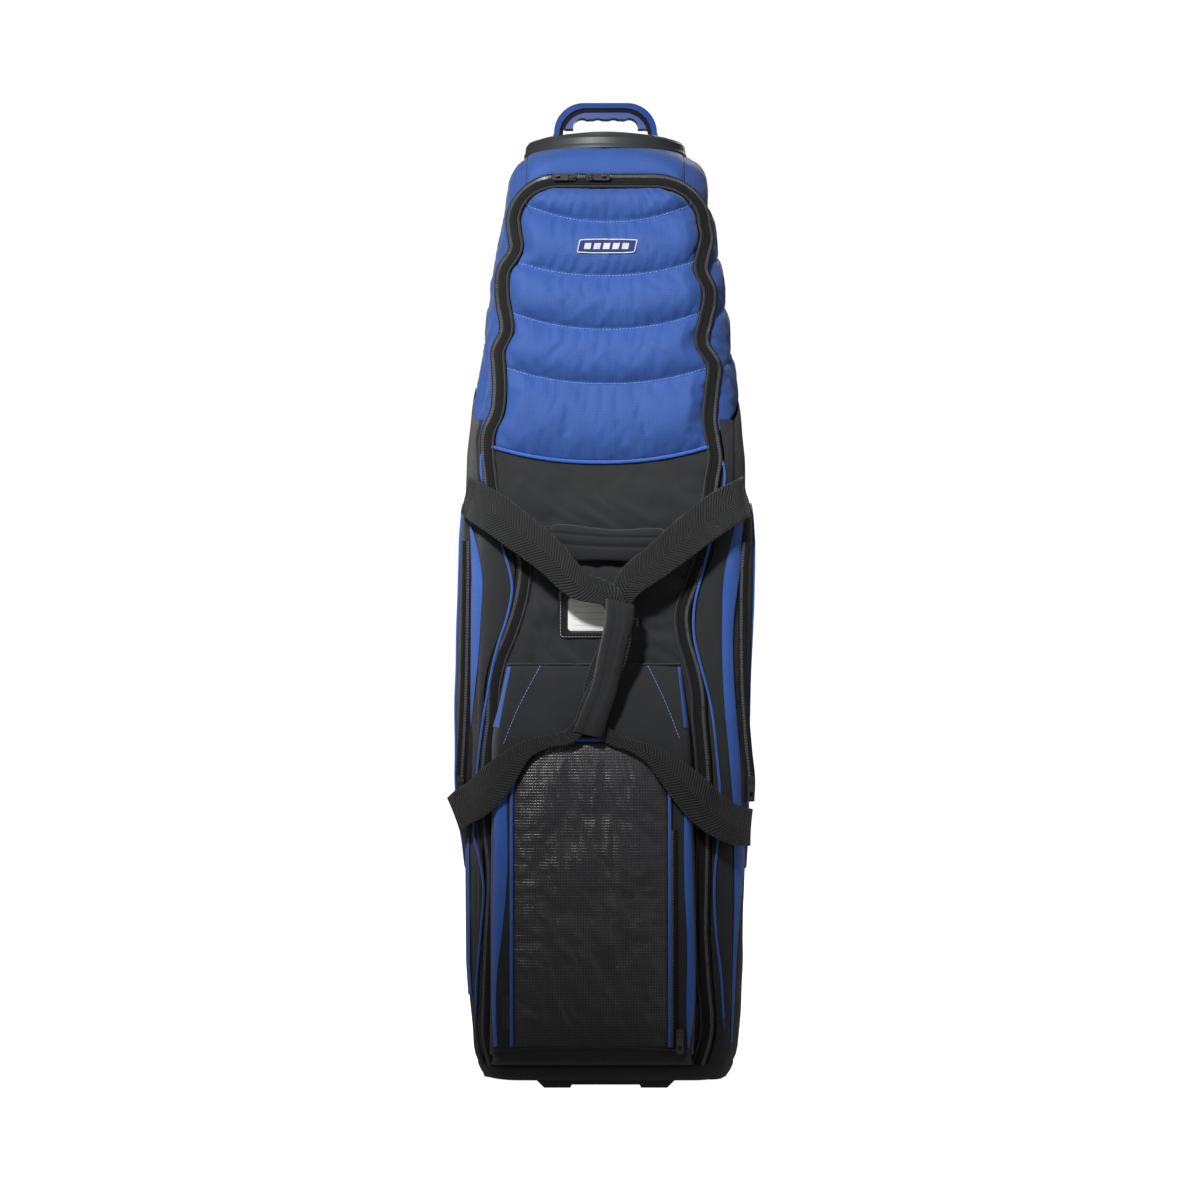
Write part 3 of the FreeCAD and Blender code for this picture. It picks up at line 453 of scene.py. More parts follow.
def ripstop_cloth(name, low, high, pitch=3.6):
    """Thin coated nylon with a raised square grid."""
    sh = Shader(name)
    ridges = [sh.math("POWER", sh.math("ABSOLUTE", wave(sh, value, pitch * 2)), 6.0) for value in sh.uv()]
    cell = sh.math("MAXIMUM", *ridges)
    n = sh.bump(cell, 0.0003, 0.9, sh.bump(sh.noise(40, 4), 0.0006, 0.4))
    color = sh.mix(sh.times(cell, 0.8), low, high)
    return sh.finish(color, sh.math("MULTIPLY_ADD", cell, -0.12, 0.42), n, spec=0.6)


def web_cloth(name, low, high, pitch):
    """Herringbone webbing: ribs that slope each way from the middle."""
    sh = Shader(name)
    u, v = sh.uv()
    rib = wave(sh, sh.add(v, sh.times(sh.math("ABSOLUTE", u), 0.7)), pitch)
    fac = sh.add(sh.math("MULTIPLY_ADD", rib, 0.42, 0.36), sh.times(sh.noise(300, 2), 0.25), clamp=True)
    n = sh.bump(sh.add(sh.times(rib, 0.7), sh.times(wave(sh, u, 1.3), 0.3)), 0.0009, 1.0)
    return sh.finish(sh.mix(fac, low, high), 0.55, n, spec=0.45, sheen=0.1)


def moulded(name, color, rough, grain=0.0003, scale=1500, spec=0.5, coat=0.0, metal=0.0, scuff=0.1):
    """Plastic, rubber or metal with a fine grain and faint scuffs."""
    sh = Shader(name)
    fine, wide = sh.noise(scale, 2), sh.noise(35, 5)
    darker = tuple(c * 0.8 for c in color[:3]) + (1.0,)
    shade = sh.mix(wide, darker, color)
    n = sh.bump(fine, grain, 0.6) if grain else None
    return sh.finish(shade, sh.math("MULTIPLY_ADD", wide, scuff, rough - scuff * 0.5), n, spec=spec, coat=coat,
                     metal=metal)


M = {
    "blue": dobby_cloth("blue_dobby", rgb(22, 50, 112), rgb(46, 88, 160)),
    # The piping's bright blue. On the inserts and pocket corners it is also painted light: it is brighter than their
    # dobby blue to make up for lamp light that falls off low on the case.
    "blue_piping_and_lit_insert": plain_cloth("blue_piping", rgb(34, 74, 160), rgb(60, 110, 200), pitch=0.9, rough=0.5),
    "black": plain_cloth("black_polyester", rgb(20, 21, 23), rgb(46, 47, 50)),
    "black2": plain_cloth("black_twill", rgb(22, 23, 25), rgb(48, 49, 52), pitch=1.8),
    "ripstop": ripstop_cloth("black_ripstop", rgb(15, 15, 17), rgb(55, 56, 59)),
    "web": web_cloth("black_webbing", rgb(6, 6, 7), rgb(38, 39, 41), pitch=4.2),
    "tape": plain_cloth("zip_tape", rgb(10, 10, 11), rgb(25, 25, 27), pitch=0.9, sheen=0.04),
    "lining": plain_cloth("grey_lining", rgb(84, 86, 90), rgb(112, 114, 118), pitch=1.4, rough=0.9),
    # The coil turns' light grey is painted highlight: on the black zip they only look pale where the light catches
    # them.
    "coil": moulded("coil_grey_painted_highlight", rgb(112, 112, 116), 0.28, 0, spec=0.8),
    "plastic": moulded("black_plastic", rgb(48, 49, 51), 0.5, 0.00012, 1800, scuff=0.15),
    "plastic2": moulded("black_plastic_worn", rgb(36, 37, 39), 0.55, 0.0002, 1200, scuff=0.2),
    "gloss_black": moulded("gloss_black", rgb(14, 14, 16), 0.16, 0, spec=0.6, coat=0.6, scuff=0.08),
    "blue_gloss": moulded("blue_gloss", rgb(24, 64, 142), 0.22, 0, spec=0.6, coat=0.7, scuff=0.08),
    "blue_rubber": moulded("blue_rubber", rgb(28, 66, 142), 0.42, 0.0001, 1500, scuff=0.1),
    "patent": moulded("patent_black", rgb(20, 20, 21), 0.3, 0.0002, 500, coat=0.25),
    "pad": plain_cloth("padded_sleeve", rgb(15, 15, 17), rgb(37, 38, 40), pitch=1.8),
    "card": moulded("card", rgb(228, 228, 224), 0.75, 0),
    "ink": moulded("ruled_ink", rgb(150, 150, 150), 0.8, 0),
    "thread_blue": moulded("thread_blue", rgb(120, 158, 226), 0.6, 0),
    "satin": plain_cloth("satin_thread", rgb(188, 188, 192), rgb(222, 222, 224), pitch=0.6, rough=0.45),
    "badge_blue": plain_cloth("badge_ground", rgb(22, 40, 96), rgb(34, 58, 122), pitch=0.6, rough=0.6),
    "thread_white": moulded("thread_white", rgb(205, 205, 205), 0.6, 0),
    "thread_black": moulded("thread_black", rgb(34, 34, 36), 0.6, 0),
    # Black enamel, lightened to grey as painted highlight, because the real pulls only show pale glints on black.
    "metal": moulded("black_enamel_lightened_for_glints", rgb(46, 46, 49), 0.22, 0, spec=0.9),
    "steel": moulded("zinc_steel", rgb(170, 172, 176), 0.3, 0.00005, 2500, metal=1.0),
    "pu": moulded("wheel_rubber", rgb(40, 40, 42), 0.45, 0.0001, 900, scuff=0.25),
}


def vinyl():
    """Clear film over the card."""
    sh = Shader("clear_vinyl")
    sh.finish((1, 1, 1, 1), 0.1, spec=0.4)
    sh.bsdf.inputs["Alpha"].default_value = 0.07
    sh.mat.blend_method = "BLEND"
    return sh.mat


M["vinyl"] = vinyl()


# ---- cloth panels ------------------------------------------------------------------------
def noise3(p, scale, seed=0):
    """Smooth noise in -1..1 at points in millimetres."""
    off = Vector((seed * 17.3, seed * 5.1, seed * 9.7))
    flat = p.reshape(-1, 3) / scale
    return np.array([noise.noise(Vector(q) + off) for q in flat]).reshape(p.shape[:-1])


def sew(obj, pinned):
    """Marks the vertices that the simulation holds, by weight."""
    group = obj.vertex_groups.new(name="pin")
    group.add(np.nonzero(pinned.ravel())[0].tolist(), 1.0, "REPLACE")


def sheet(name, fx, fz, rows, cols, bulge, pins, wrinkle, slack, pressure, seed, from_s=False):
    """A cloth panel on the wall, which waits in SIM for the cloth simulation.

    fx(u, v, z) and fz(u, v) give its place from the front, or round the wall with from_s. bulge(u, v) is its
    height over the wall and pins(u, v) is true where it is sewn down."""
    u, v = lattice(rows, cols)
    z = fz(u, v)
    x = fx(u, v, z)
    s = x if from_s else s_of_x(x, z)
    h = bulge(u, v)
    base = surf(s, z, h)
    pinned = pins(u, v)
    n = noise3(base, 16.0, seed) * wrinkle + noise3(base, 40.0, seed + 3) * wrinkle
    obj = grid(name, surf(s, z, h + n * (1 - pinned)), pair(s, z))
    sew(obj, pinned)
    SIM.append((obj, pressure, slack, 1.0))
    return obj


def simulate(frames=22):
    """Runs the cloth simulation of every waiting panel at once and keeps the last frame."""
    if not SIM:
        return
    scene = bpy.context.scene
    scene.gravity = (0, 0, 0)
    scene.use_gravity = False
    for obj, pressure, slack, stiff in SIM:
        m = obj.modifiers.new("cloth", "CLOTH")
        c = m.settings
        c.quality = 5
        c.mass = 0.25
        c.air_damping = 2.0
        c.tension_stiffness = c.compression_stiffness = 14 * stiff
        c.shear_stiffness = 5 * stiff
        c.bending_stiffness = 0.35 * stiff
        c.tension_damping = c.compression_damping = c.shear_damping = 6
        c.bending_damping = 0.6
        c.vertex_group_mass = "pin"
        c.pin_stiffness = 3.0
        c.shrink_min = -slack
        c.use_pressure = True
        c.uniform_pressure_force = pressure
        c.effector_weights.gravity = 0.0
        m.collision_settings.use_collision = False
        m.collision_settings.use_self_collision = False
        m.point_cache.frame_start, m.point_cache.frame_end = 1, frames
    for f in range(1, frames + 1):
        scene.frame_set(f)
    graph = bpy.context.evaluated_depsgraph_get()
    for obj, *_ in SIM:
        mesh = bpy.data.meshes.new_from_object(obj.evaluated_get(graph))
        obj.modifiers.clear()
        obj.data = mesh
        obj.vertex_groups.clear()
    scene.frame_set(1)


def refine(obj):
    """One level of subdivision, so that folds read as smooth cloth."""
    m = obj.modifiers.new("fine", "SUBSURF")
    m.levels = m.render_levels = 1


BACK_SEAM_Y = 108.0  # from the handle's axis to the seams at the back
CORD = 14.0  # from the coil to the cord that edges the lid's cloth


def seam_rows(seams, counts):
    """Heights of a sheet's rows at its two ends, with rows between the seams, and the sewn rows marked."""
    rows, sewn = [], []
    for (a0, b0), (a1, b1), n in zip(seams, seams[1:], counts):
        rows += [(a0 + (a1 - a0) * t, b0 + (b1 - b0) * t) for t in np.arange(n) / n]
        sewn += [1.0] + [0.0] * (n - 1)
    rows = np.array(rows + [seams[-1]], float)
    return rows[:, 0], rows[:, 1], np.array(sewn + [1.0])


def arc_line(mid, end, u):
    """Heights along an arc that is low in the middle and rises to both ends."""
    return mid + (end - mid) * np.abs(2 * u - 1) ** 2.2


def between(side_low, side_high, u):
    """Places a share u of the way from one edge to the other."""
    return side_low + (side_high - side_low) * u


def lobe_profile(sewn):
    """0 on sewn rows and a rounded arch between them."""
    at = np.nonzero(sewn)[0]
    out = np.zeros(len(sewn))
    for a, b in zip(at, at[1:]):
        t = (np.arange(a, b + 1) - a) / (b - a)
        out[a:b + 1] = np.sin(np.pi * t) ** 0.7
    return out


def lobe_pins(sewn):
    """Sewn down on the seams and at both ends."""
    return lambda u, v: rim(u, v, 0.5 / u.shape[1], -1) | (sewn[:, None] > 0)


def quilt():
    """The blue upper lid."""
    mid, end, sewn = seam_rows(ARCS + [(ZIP_TOP - CORD, ZIP_TOP - CORD)], [28, 20, 20, 20, 12])
    lobes = lobe_profile(sewn)[:, None]
    near_seam = np.abs(np.arange(len(mid))[:, None] - np.nonzero(sewn)[0][None]).min(1)

    def fz(u, v):
        return arc_line(mid[:, None], end[:, None], u)

    def fx(u, v, z):
        return between(zip_x(-1, end, CORD)[:, None], zip_x(1, end, CORD)[:, None], u)

    def bulge(u, v):
        gather = noise3(np.stack([u * 200, 0 * u, np.cumsum(sewn)[:, None] * 90 + 0 * u], -1), 6.0, 8)
        near = np.exp(-near_seam[:, None] / 3.0)
        return lobes * rise(u, 0.08, 0.6) * 13.0 - 3.5 + gather * near * 2.6 * (sewn[:, None] == 0)

    obj = sheet("lid_quilt_cloth", fx, fz, len(mid), 78, bulge, lobe_pins(sewn), 0.5, 0.018, 6.0, 2)
    return paint(obj, "blue")


def upper_side(side):
    """One blue side panel: from the zip round to the back seam, in lobes that follow the quilt's arcs."""
    seams = [(852, 908), (935, 966), (1007, 1022), (1074, 1088), (1150, 1156), (1229, 1229)]
    near, far, sewn = seam_rows(seams, [20, 16, 16, 16, 16])
    lobes = lobe_profile(sewn)[:, None]
    sink = 4.2 if side > 0 else 6.0

    def fz(u, v):
        return near[:, None] + (far - near)[:, None] * np.clip(u / 0.24, 0, 1) ** 1.1

    def fx(u, v, z):
        run = np.abs(zip_x(side, np.minimum(near, 1165.0), -2.6))
        run = np.where(near > 1165, np.minimum(run, 104.0), run)
        return side * between(s_of_x(run, near)[:, None], s_side(BACK_SEAM_Y, far)[:, None], u)

    def bulge(u, v):
        edge = rise(u, 0.05, 0.6)
        sunk = np.clip((near[:, None] - 852) / 60, 0, 1)
        return lobes * edge * 3.5 - sink * edge * sunk - 0.8

    obj = sheet("upper_side_cloth_" + label_of(side), fx, fz, len(near), 64, bulge, lobe_pins(sewn), 0.7, 0.02, 6.0,
                3 + side, from_s=True)
    return paint(obj, "blue")


def neck_front():
    """The plain blue strip between the zip's top run and the hard top."""
    def fx(u, v, z):
        return -104 + 208 * u

    def fz(u, v):
        over = np.clip((np.abs(-104 + 208 * u) - 62) / ZIP_CORNER, 0, 0.95)
        low = ZIP_TOP + 2.6 - ZIP_CORNER * (1 - np.sqrt(1 - over**2))
        return low + (1229 - low) * v

    def bulge(u, v):
        return 5.0 * np.sin(np.pi * v) ** 0.6 * rise(u, 0.04, 0.5) - 1.5

    return paint(sheet("neck_cloth", fx, fz, 14, 56, bulge, rim, 0.5, 0.0, 1.0, 9), "blue")


def round_back(low, high, rows, cols):
    """Places round the back from one seam to the other: u, z, the run s, and s brought to the wall's range."""
    u, v = lattice(rows, cols)
    z = low + (high - low) * v
    right = s_side(BACK_SEAM_Y, z)
    s = right + (2 * half_round(z) - 2 * right) * u
    return u, z, s, np.where(s > half_round(z), s - 2 * half_round(z), s)


def neck_back():
    """The blue strip behind, over the back panel."""
    rows = 10
    u, z, s, wrapped = round_back(1190, 1229, rows, 40)
    h = 3.0 * np.sin(np.linspace(0, np.pi, rows))[:, None] ** 0.6
    return paint(grid("neck_back_cloth", surf(wrapped, z, h + 0 * s), pair(s, z)), "blue")


def coil_path():
    """The coil seen from the front, from the left foot over the top to the right foot."""
    z = np.concatenate([np.arange(30, 1127, 1.0), 1127 + ZIP_CORNER * np.sin(np.linspace(0, np.pi / 2, 80))])
    left, right = pair(zip_x(-1, z), z), pair(zip_x(1, z), z)[::-1]
    top = np.stack([np.linspace(-62, 62, 124), np.full(124, ZIP_TOP)], -1)[1:-1]
    p = np.concatenate([left, top, right])
    run = run_of(p)
    return along(p, run, np.arange(0, run[-1], 1.0))


def shifted(path, inward):
    """A front-view path moved sideways, + towards the inside of the lid."""
    d = unit(np.gradient(path, axis=0))
    d = unit(np.stack([np.convolve(np.pad(d[:, i], 4, "edge"), np.ones(9) / 9, "valid") for i in (0, 1)], -1))
    return path + np.stack([d[:, 1], -d[:, 0]], -1) * inward


def on_wall(path, out):
    """A front-view path laid on the wall."""
    return surf(s_of_x(path[:, 0], path[:, 1]), path[:, 1], out)


def band(name, path, profile):
    """A strip along a front-view path. profile lists (inward shift, height over the wall)."""
    pts = np.stack([on_wall(shifted(path, a), h) for a, h in profile], 1)
    return grid(name, pts, pair(np.array(profile)[:, 0], run_of(path)[:, None]))


def beads(name, path3, normal, across, size, pitch, offset=0.0):
    """A row of coil turns along a 3-D path."""
    run = run_of(path3)
    t = np.arange(offset, run[-1], pitch)
    at, n, c = (along(rows, run, t) for rows in (path3, normal, across))
    d = np.cross(n, c)
    wide, long, high = np.array(size) * (0.5, 0.5, 1)
    ring = [(-1, -1, 0), (-0.8, -0.6, 1), (0.8, -0.6, 1), (1, -1, 0), (-1, 1, 0), (-0.8, 0.6, 1), (0.8, 0.6, 1),
            (1, 1, 0)]
    verts = np.stack([at + c * (a * wide) + d * (b * long) + n * (e * high) for a, b, e in ring], 1)
    quads = [(0, 1, 2, 3), (7, 6, 5, 4), (0, 4, 5, 1), (1, 5, 6, 2), (2, 6, 7, 3)]
    faces = [[8 * i + k for k in quad] for i in range(len(t)) for quad in quads]
    mesh = bpy.data.meshes.new(name)
    mesh.from_pydata(metres(verts).tolist(), [], faces)
    return link(name, mesh, smooth_shade=False)


def coil_turns(name, path3):
    """The turns of a small zip that faces the front."""
    facing, across = (np.tile(way, (len(path3), 1)) for way in ([0, -1.0, 0], [1.0, 0, 0]))
    return paint(beads(name, path3, facing, across, (4.0, 1.1, 1.3), 2.0), "coil")


def frame_of(path, out):
    """3-D points, wall normals and across directions along a front-view path."""
    p = on_wall(path, out)
    n = unit(on_wall(path, out + 1.0) - p)
    return p, n, np.cross(unit(np.gradient(p, axis=0)), n)


def main_zip():
    """Coil, tapes and cord of the main zip: a lid half and a case half."""
    path = coil_path()
    flap = band("zip_flap", path, [(0.8, 0.4), (1.2, 2.2), (3.0, 2.8), (6.5, 3.1), (9.0, 2.8), (9.6, 2.0), (10.2, 2.8),
                                   (11.6, 2.9), (12.4, 1.5), (15.5, -1.0)])
    cord = tube("zip_cord", on_wall(shifted(path, 13.6), 2.4)[::3], 1.5, 8)
    inner = tube("zip_cord_inner", on_wall(shifted(path, 10.6), 3.0)[::3], 0.9, 6)
    teeth = beads("zip_turns_lid", *frame_of(shifted(path, 0.9), 1.6), (2.4, 1.1, 1.2), 2.1)
    lid = [paint(flap, "tape"), paint(cord, "black2"), paint(inner, "tape"), paint(teeth, "coil")]
    place(join("main_zip_lid", lid), "lid", "main_zip_lid_half")
    tape = band("zip_tape_case", path, [(0.2, 0.4), (-0.4, 1.8), (-2.6, 2.0), (-4.0, 1.4), (-5.4, -1.0)])
    teeth = beads("zip_turns_case", *frame_of(shifted(path, -0.9), 1.6), (2.4, 1.1, 1.2), 2.1, 1.05)
    place(join("main_zip_case", [paint(tape, "tape"), paint(teeth, "coil")]), "case", "main_zip_case_half")


def smooth_path(points, n):
    """A smooth path of n points through the ones given."""
    p = np.array(points, float)
    run = run_of(p)
    t = np.linspace(0, run[-1], n)
    return np.stack([spline(pair(run, column), t) for column in p.T], -1)


def piping(name, points, radius, out, n=120):
    """A blue cord sewn to the case along a front-view path."""
    path = smooth_path(points, n)
    wiggle = noise3(np.column_stack([path, np.zeros(n)]), 45.0, 5) * 0.5
    r = np.full(n, radius)
    r[:3] = r[-3:] = radius * 0.5
    r[0] = r[-1] = radius * 0.1
    return place(paint(tube(name, on_wall(path, out + wiggle), r, 10), "blue_piping_and_lit_insert"), "case")


def draped(points, target, lift):
    """Front-view (x, z) points laid on the front of a mesh."""
    mesh = target.data
    tree = BVHTree.FromPolygons([v.co for v in mesh.vertices], [p.vertices for p in mesh.polygons])
    out = []
    for x, z in points:
        hit = tree.ray_cast(Vector(metres([(x, -400.0, z)])[0]), Vector((0, 1, 0)))[0]
        out.append((x, (hit.y / MM - ROW_Y if hit else -162.0) - lift, z))
    return np.array(out)


def arc_on_lid(arc, u, inset):
    """Front-view points along a stitched arc of the quilt."""
    left, right = (float(zip_x(side, arc[1], inset)) for side in (-1, 1))
    return pair(between(left, right, u), arc_line(*arc, u))


def quilt_stitches(panel):
    """Thread in the furrows of the quilt."""
    for k, arc in enumerate(ARCS[1:]):
        path = arc_on_lid(arc, np.linspace(0.004, 0.996, 150), CORD)
        stitches("quilt_stitch_%d" % k, draped(path, panel, 0.45), 4.4, 3.1, 0.42, "lid", "thread_blue")


def badge(panel):
    """A plain embroidered badge: a blue ground, a pale border and pale bars of satin stitch."""
    wide, z0, tall, lean = 74.0, 1083.5, 18.0, 4.0
    rows, cols = 12, 40
    u, v = lattice(rows, cols)
    z = z0 + tall / 2 + (v - 0.5) * tall * (1.0 - 0.12 * np.abs(2 * u - 1) ** 3)
    x = -wide / 2 + wide * u + (z - z0) / tall * lean
    p = draped(pair(x, z).reshape(-1, 2), panel, 1.0).reshape(rows, cols, 3)
    edge = np.concatenate([p[0], p[:, -1], p[-1][::-1], p[::-1, 0]])
    pieces = [paint(grid("badge_ground", p, pair(x, z)), "badge_blue"),
              paint(tube("badge_border", edge - [0, 0.5, 0], 0.8, 6), "thread_white")]
    for k in range(5):
        start = 0.10 + 0.165 * k
        q = np.linspace(start, start + 0.115, 12)
        column = np.round(q * (cols - 1)).astype(int)
        row = np.round(np.linspace(*((0.24, 0.76) if k % 2 else (0.30, 0.70)), 5) * (rows - 1)).astype(int)
        bar = p[row[:, None], column[None]] - [0, 0.6, 0]
        bar[..., 0] += (q - column / (cols - 1))[None] * wide
        pieces.append(paint(grid("badge_bar", bar, bar[..., [0, 2]]), "satin"))
    place(join("generic_badge", pieces), "lid")


def quilt_edge():
    """The blue cord along the bottom of the quilt."""
    path = arc_on_lid(ARCS[0], np.linspace(0, 1, 90), CORD - 2)
    place(paint(tube("quilt_edge_piping", on_wall(path, 1.6), 2.3, 10), "blue_piping_and_lit_insert"), "lid")


def stitches(name, path3, pitch, length, radius, owner, mat):
    """Thread stitches along a 3-D path. Without an owner they ride on no body."""
    run = run_of(path3)
    sides = 5
    ang = np.arange(sides) * 2 * np.pi / sides
    verts, faces = [], []
    for start in np.arange(1.0, run[-1] - length, pitch):
        q = along(path3, run, start + length * np.array([0, 0.25, 0.75, 1]))
        d = unit(q[-1] - q[0])
        n = unit(np.cross(d, [0, 1.0, 0.02]))
        b = np.cross(d, n)
        around = np.cos(ang)[:, None] * n + np.sin(ang)[:, None] * b
        for i in range(3):
            base = (len(verts) + i) * sides
            faces += [[base + j, base + (j + 1) % sides, base + sides + (j + 1) % sides, base + sides + j]
                      for j in range(sides)]
        verts += [at + around * radius * r for at, r in zip(q, (0.35, 1.0, 1.0, 0.35))]
    mesh = bpy.data.meshes.new(name)
    mesh.from_pydata(metres(np.concatenate(verts)).tolist(), [], faces)
    obj = paint(link(name, mesh), mat)
    return place(obj, owner) if owner else obj


def outline(points, step):
    """Points at about every step along straight lines, leaving out the last one."""
    p = np.asarray(points, float)
    out = []
    for a, b in zip(p, p[1:]):
        n = max(int(np.linalg.norm(b - a) / step), 1)
        out += [a + (b - a) * t for t in np.arange(n) / n]
    return np.array(out)


def strip(name, rows_z, xa, xb):
    """A flat blue insert in the case's front, between two edges given as (z, x) lists. It takes the brighter piping
    blue, whose extra brightness over the dobby blue is painted light, standing in for lamp light that falls off on the
    lower case.
    """
    z = np.linspace(*rows_z, 110)
    a, b = spline(xa, z), spline(xb, z)
    u = np.linspace(0, 1, 7)
    w = body(z)[0]
    a = np.sign(a) * np.minimum(np.abs(a), w - 5.0)
    wide = between(a[:, None], b[:, None], u)
    x = np.clip(wide, -(w - 0.3)[:, None], (w - 0.3)[:, None])
    zz = z[:, None] + 0 * x
    s = s_of_x(x, zz)
    pts = surf(s + np.sign(x) * (np.abs(wide) - np.abs(x)), zz, 3.0 + np.sin(np.pi * u) + 0 * x)
    return place(paint(grid(name, pts, pair(np.abs(s), zz)), "blue_piping_and_lit_insert"), "case")


def lid_lower():
    """The black cloth of the lid, under the quilt."""
    def fz(u, v):
        return between(30, 812 + 20 * np.abs(2 * u - 1) ** 2.2, v)

    def fx(u, v, z):
        return between(zip_x(-1, z, CORD - 2), zip_x(1, z, CORD - 2), u)

    def bulge(u, v):
        x, z = (u - 0.5) * 260, 30 + 790 * v
        free = np.clip(np.minimum(np.minimum(u, 1 - u), np.minimum(v, 1 - v)) / 0.1, 0, 1) ** 0.7
        folds = noise3(front_view(x * 0.55 + z * 0.84, (z * 0.55 - x * 0.84) * 0.3), 20.0, 13)
        calm = (1 - 0.85 * np.exp(-((z - 708) / 30) ** 2)
                - 0.8 * np.exp(-((z - 617) / 42) ** 4) * (np.abs(x + 9) < 62))
        return 1.2 * free - 0.6 + free * np.clip(calm, 0, 1) * np.abs(folds) * 13.0

    def pins(u, v):
        z = 30 + 790 * v
        pocket = (z < 540) | (np.abs(z - 553) < 3)
        card = (z > 575) & (z < 660) & (np.abs(u - 0.42) < 0.24)
        handle = (np.abs(z - 708) < 22) & (np.abs(u - 0.5) < 0.42)
        return rim(u, v) | pocket | card | handle

    obj = sheet("lid_lower_cloth", fx, fz, 150, 60, bulge, pins, 0.5, 0.010, 0.7, 12)
    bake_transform(paint(obj, "black"))
    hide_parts("lid_lower_panel")


def lower_side(side):
    """Black side cloth, from the border piping to the back seam."""
    u, v = lattice(90, 30)
    top = 858 + 56 * np.clip(u / 0.22, 0, 1) ** 1.1
    z = between(12, top, v)
    s = between(s_of_x(np.minimum(160.0, body(z)[0] - 8), z), s_side(BACK_SEAM_Y, z), u)
    h = 1.5 + noise3(surf(side * s, z, 0), 60.0, 20 + side) * 2.0
    edge = rise(u, 0.08) * np.clip((top - z) / 16, 0, 1)
    obj = grid("lower_side_cloth_" + label_of(side), surf(side * s, z, h * edge - 0.4), pair(s, z))
    return paint(obj, "black")


def border(side):
    """The black strip between the main zip and the side."""
    u, v = lattice(150, 14)
    z = between(12, 868, v)
    a = s_of_x(np.abs(zip_x(side, np.maximum(z, 28), -7)), z)
    s = between(a, np.maximum(s_of_x(np.minimum(166.0, body(z)[0] - 4), z), a + 6), u)
    arch = np.abs(np.sin(np.pi * u))
    h = 2.2 * arch ** 0.6 + noise3(surf(side * s, z, 0), 30.0, 30 + side) * 1.2 * arch
    return paint(grid("border_cloth_" + label_of(side), surf(side * s, z, h), pair(s, z)), "black")


def back_panel():
    """The black back, with pressed channels across it."""
    u, z, s, wrapped = round_back(14, 1194, 120, 60)
    h = 3.0 * rise(u, 0.05, 0.6)
    for channel in (330, 560, 790, 1010):
        h = h - 3.2 * np.exp(-((z - channel) / 5.0) ** 2)
    h = h + noise3(surf(wrapped, z, 0), 70.0, 41) * 1.6
    obj = grid("back_cloth", surf(wrapped, z, h), pair(s, z))
    place(paint(obj, "black"), "case", "back_panel")
    z = np.linspace(190, 1226, 160)
    for side in (-1, 1):
        cord = surf(side * s_side(BACK_SEAM_Y, z), z, 1.5)
        place(paint(tube("back_piping_" + label_of(side), cord, 2.2, 8), "black2"), "case")
        seam = surf(side * (s_side(BACK_SEAM_Y, z) + 6), z, 3.2)
        stitches("back_stitch_" + label_of(side), seam, 5.0, 3.4, 0.4, "case", "thread_black")


def base_lip():
    """The tough black wrap round the foot of the case."""
    s = np.linspace(-1, 1, 260)
    profile = np.array([(9.0, -14.0), (9.5, -4.0), (13, 0.5), (20, 2.2), (27, 2.4), (31, 1.8), (32.6, -3.0)])
    pts = []
    for z, h in profile:
        wall_z = max(z, 12.0)
        p = surf(s * half_round(wall_z), wall_z, h)
        p[..., 1] -= 10.0 * np.exp(-(p[..., 0] / 122) ** 6) * (p[..., 1] < 0) * min(max(z - 6, 0) / 18, 1)
        p[..., 2] += z - wall_z
        pts.append(p)
    obj = grid("base_wrap", np.stack(pts), pair(s * 700, profile[:, :1]))
    return place(paint(obj, "black2"), "case")


def liner(name, start, stop, low, high, rows, cols, depth, owner):
    """A grey inner face, with a rim that closes the wall's thickness. start and stop give its run at a height."""
    u, v = lattice(rows, cols)
    z = between(low, high, v)
    s = between(start(z[:, :1]), stop(z[:, :1]), u)
    h = half_round(z)
    wrapped = (s + h) % (2 * h) - h
    inner = surf(wrapped, z, -depth + noise3(surf(wrapped, z, 0), 80.0, 50) * 0.8)
    rims = [surf(wrapped[:, edge], z[:, edge], 0.5) for edge in (slice(0, 1), slice(-1, None))]
    run = np.concatenate([s[:, :1] - depth, s, s[:, -1:] + depth], 1)
    obj = grid(name, np.concatenate([rims[0], inner, rims[1]], 1), pair(run, z[:, :1]))
    return place(paint(obj, "lining"), owner)


quilt_panel = place(quilt(), "lid", "lid_quilt")
for k in (-1, 1):
    place(upper_side(k), "case", "upper_side_" + label_of(k))
    place(lower_side(k), "case", "lower_side_" + label_of(k))
place(join("border_cloth", [border(k) for k in (-1, 1)]), "case", "front_borders")
place(neck_front(), "case", "neck_panel")
place(neck_back(), "case")
lid_lower()
back_panel()
base_lip()
main_zip()
quilt_edge()
liner("case_lining", lambda z: s_of_x(zip_x(1, z, -1.5), z),
      lambda z: 2 * half_round(z) + s_of_x(zip_x(-1, z, -1.5), z), 84, 1183, 150, 90, 13.0, "case")
liner("lid_lining", lambda z: s_of_x(zip_x(-1, z, 1.5), z), lambda z: s_of_x(zip_x(1, z, 1.5), z),
      32, 1183, 150, 40, 10.0, "lid")

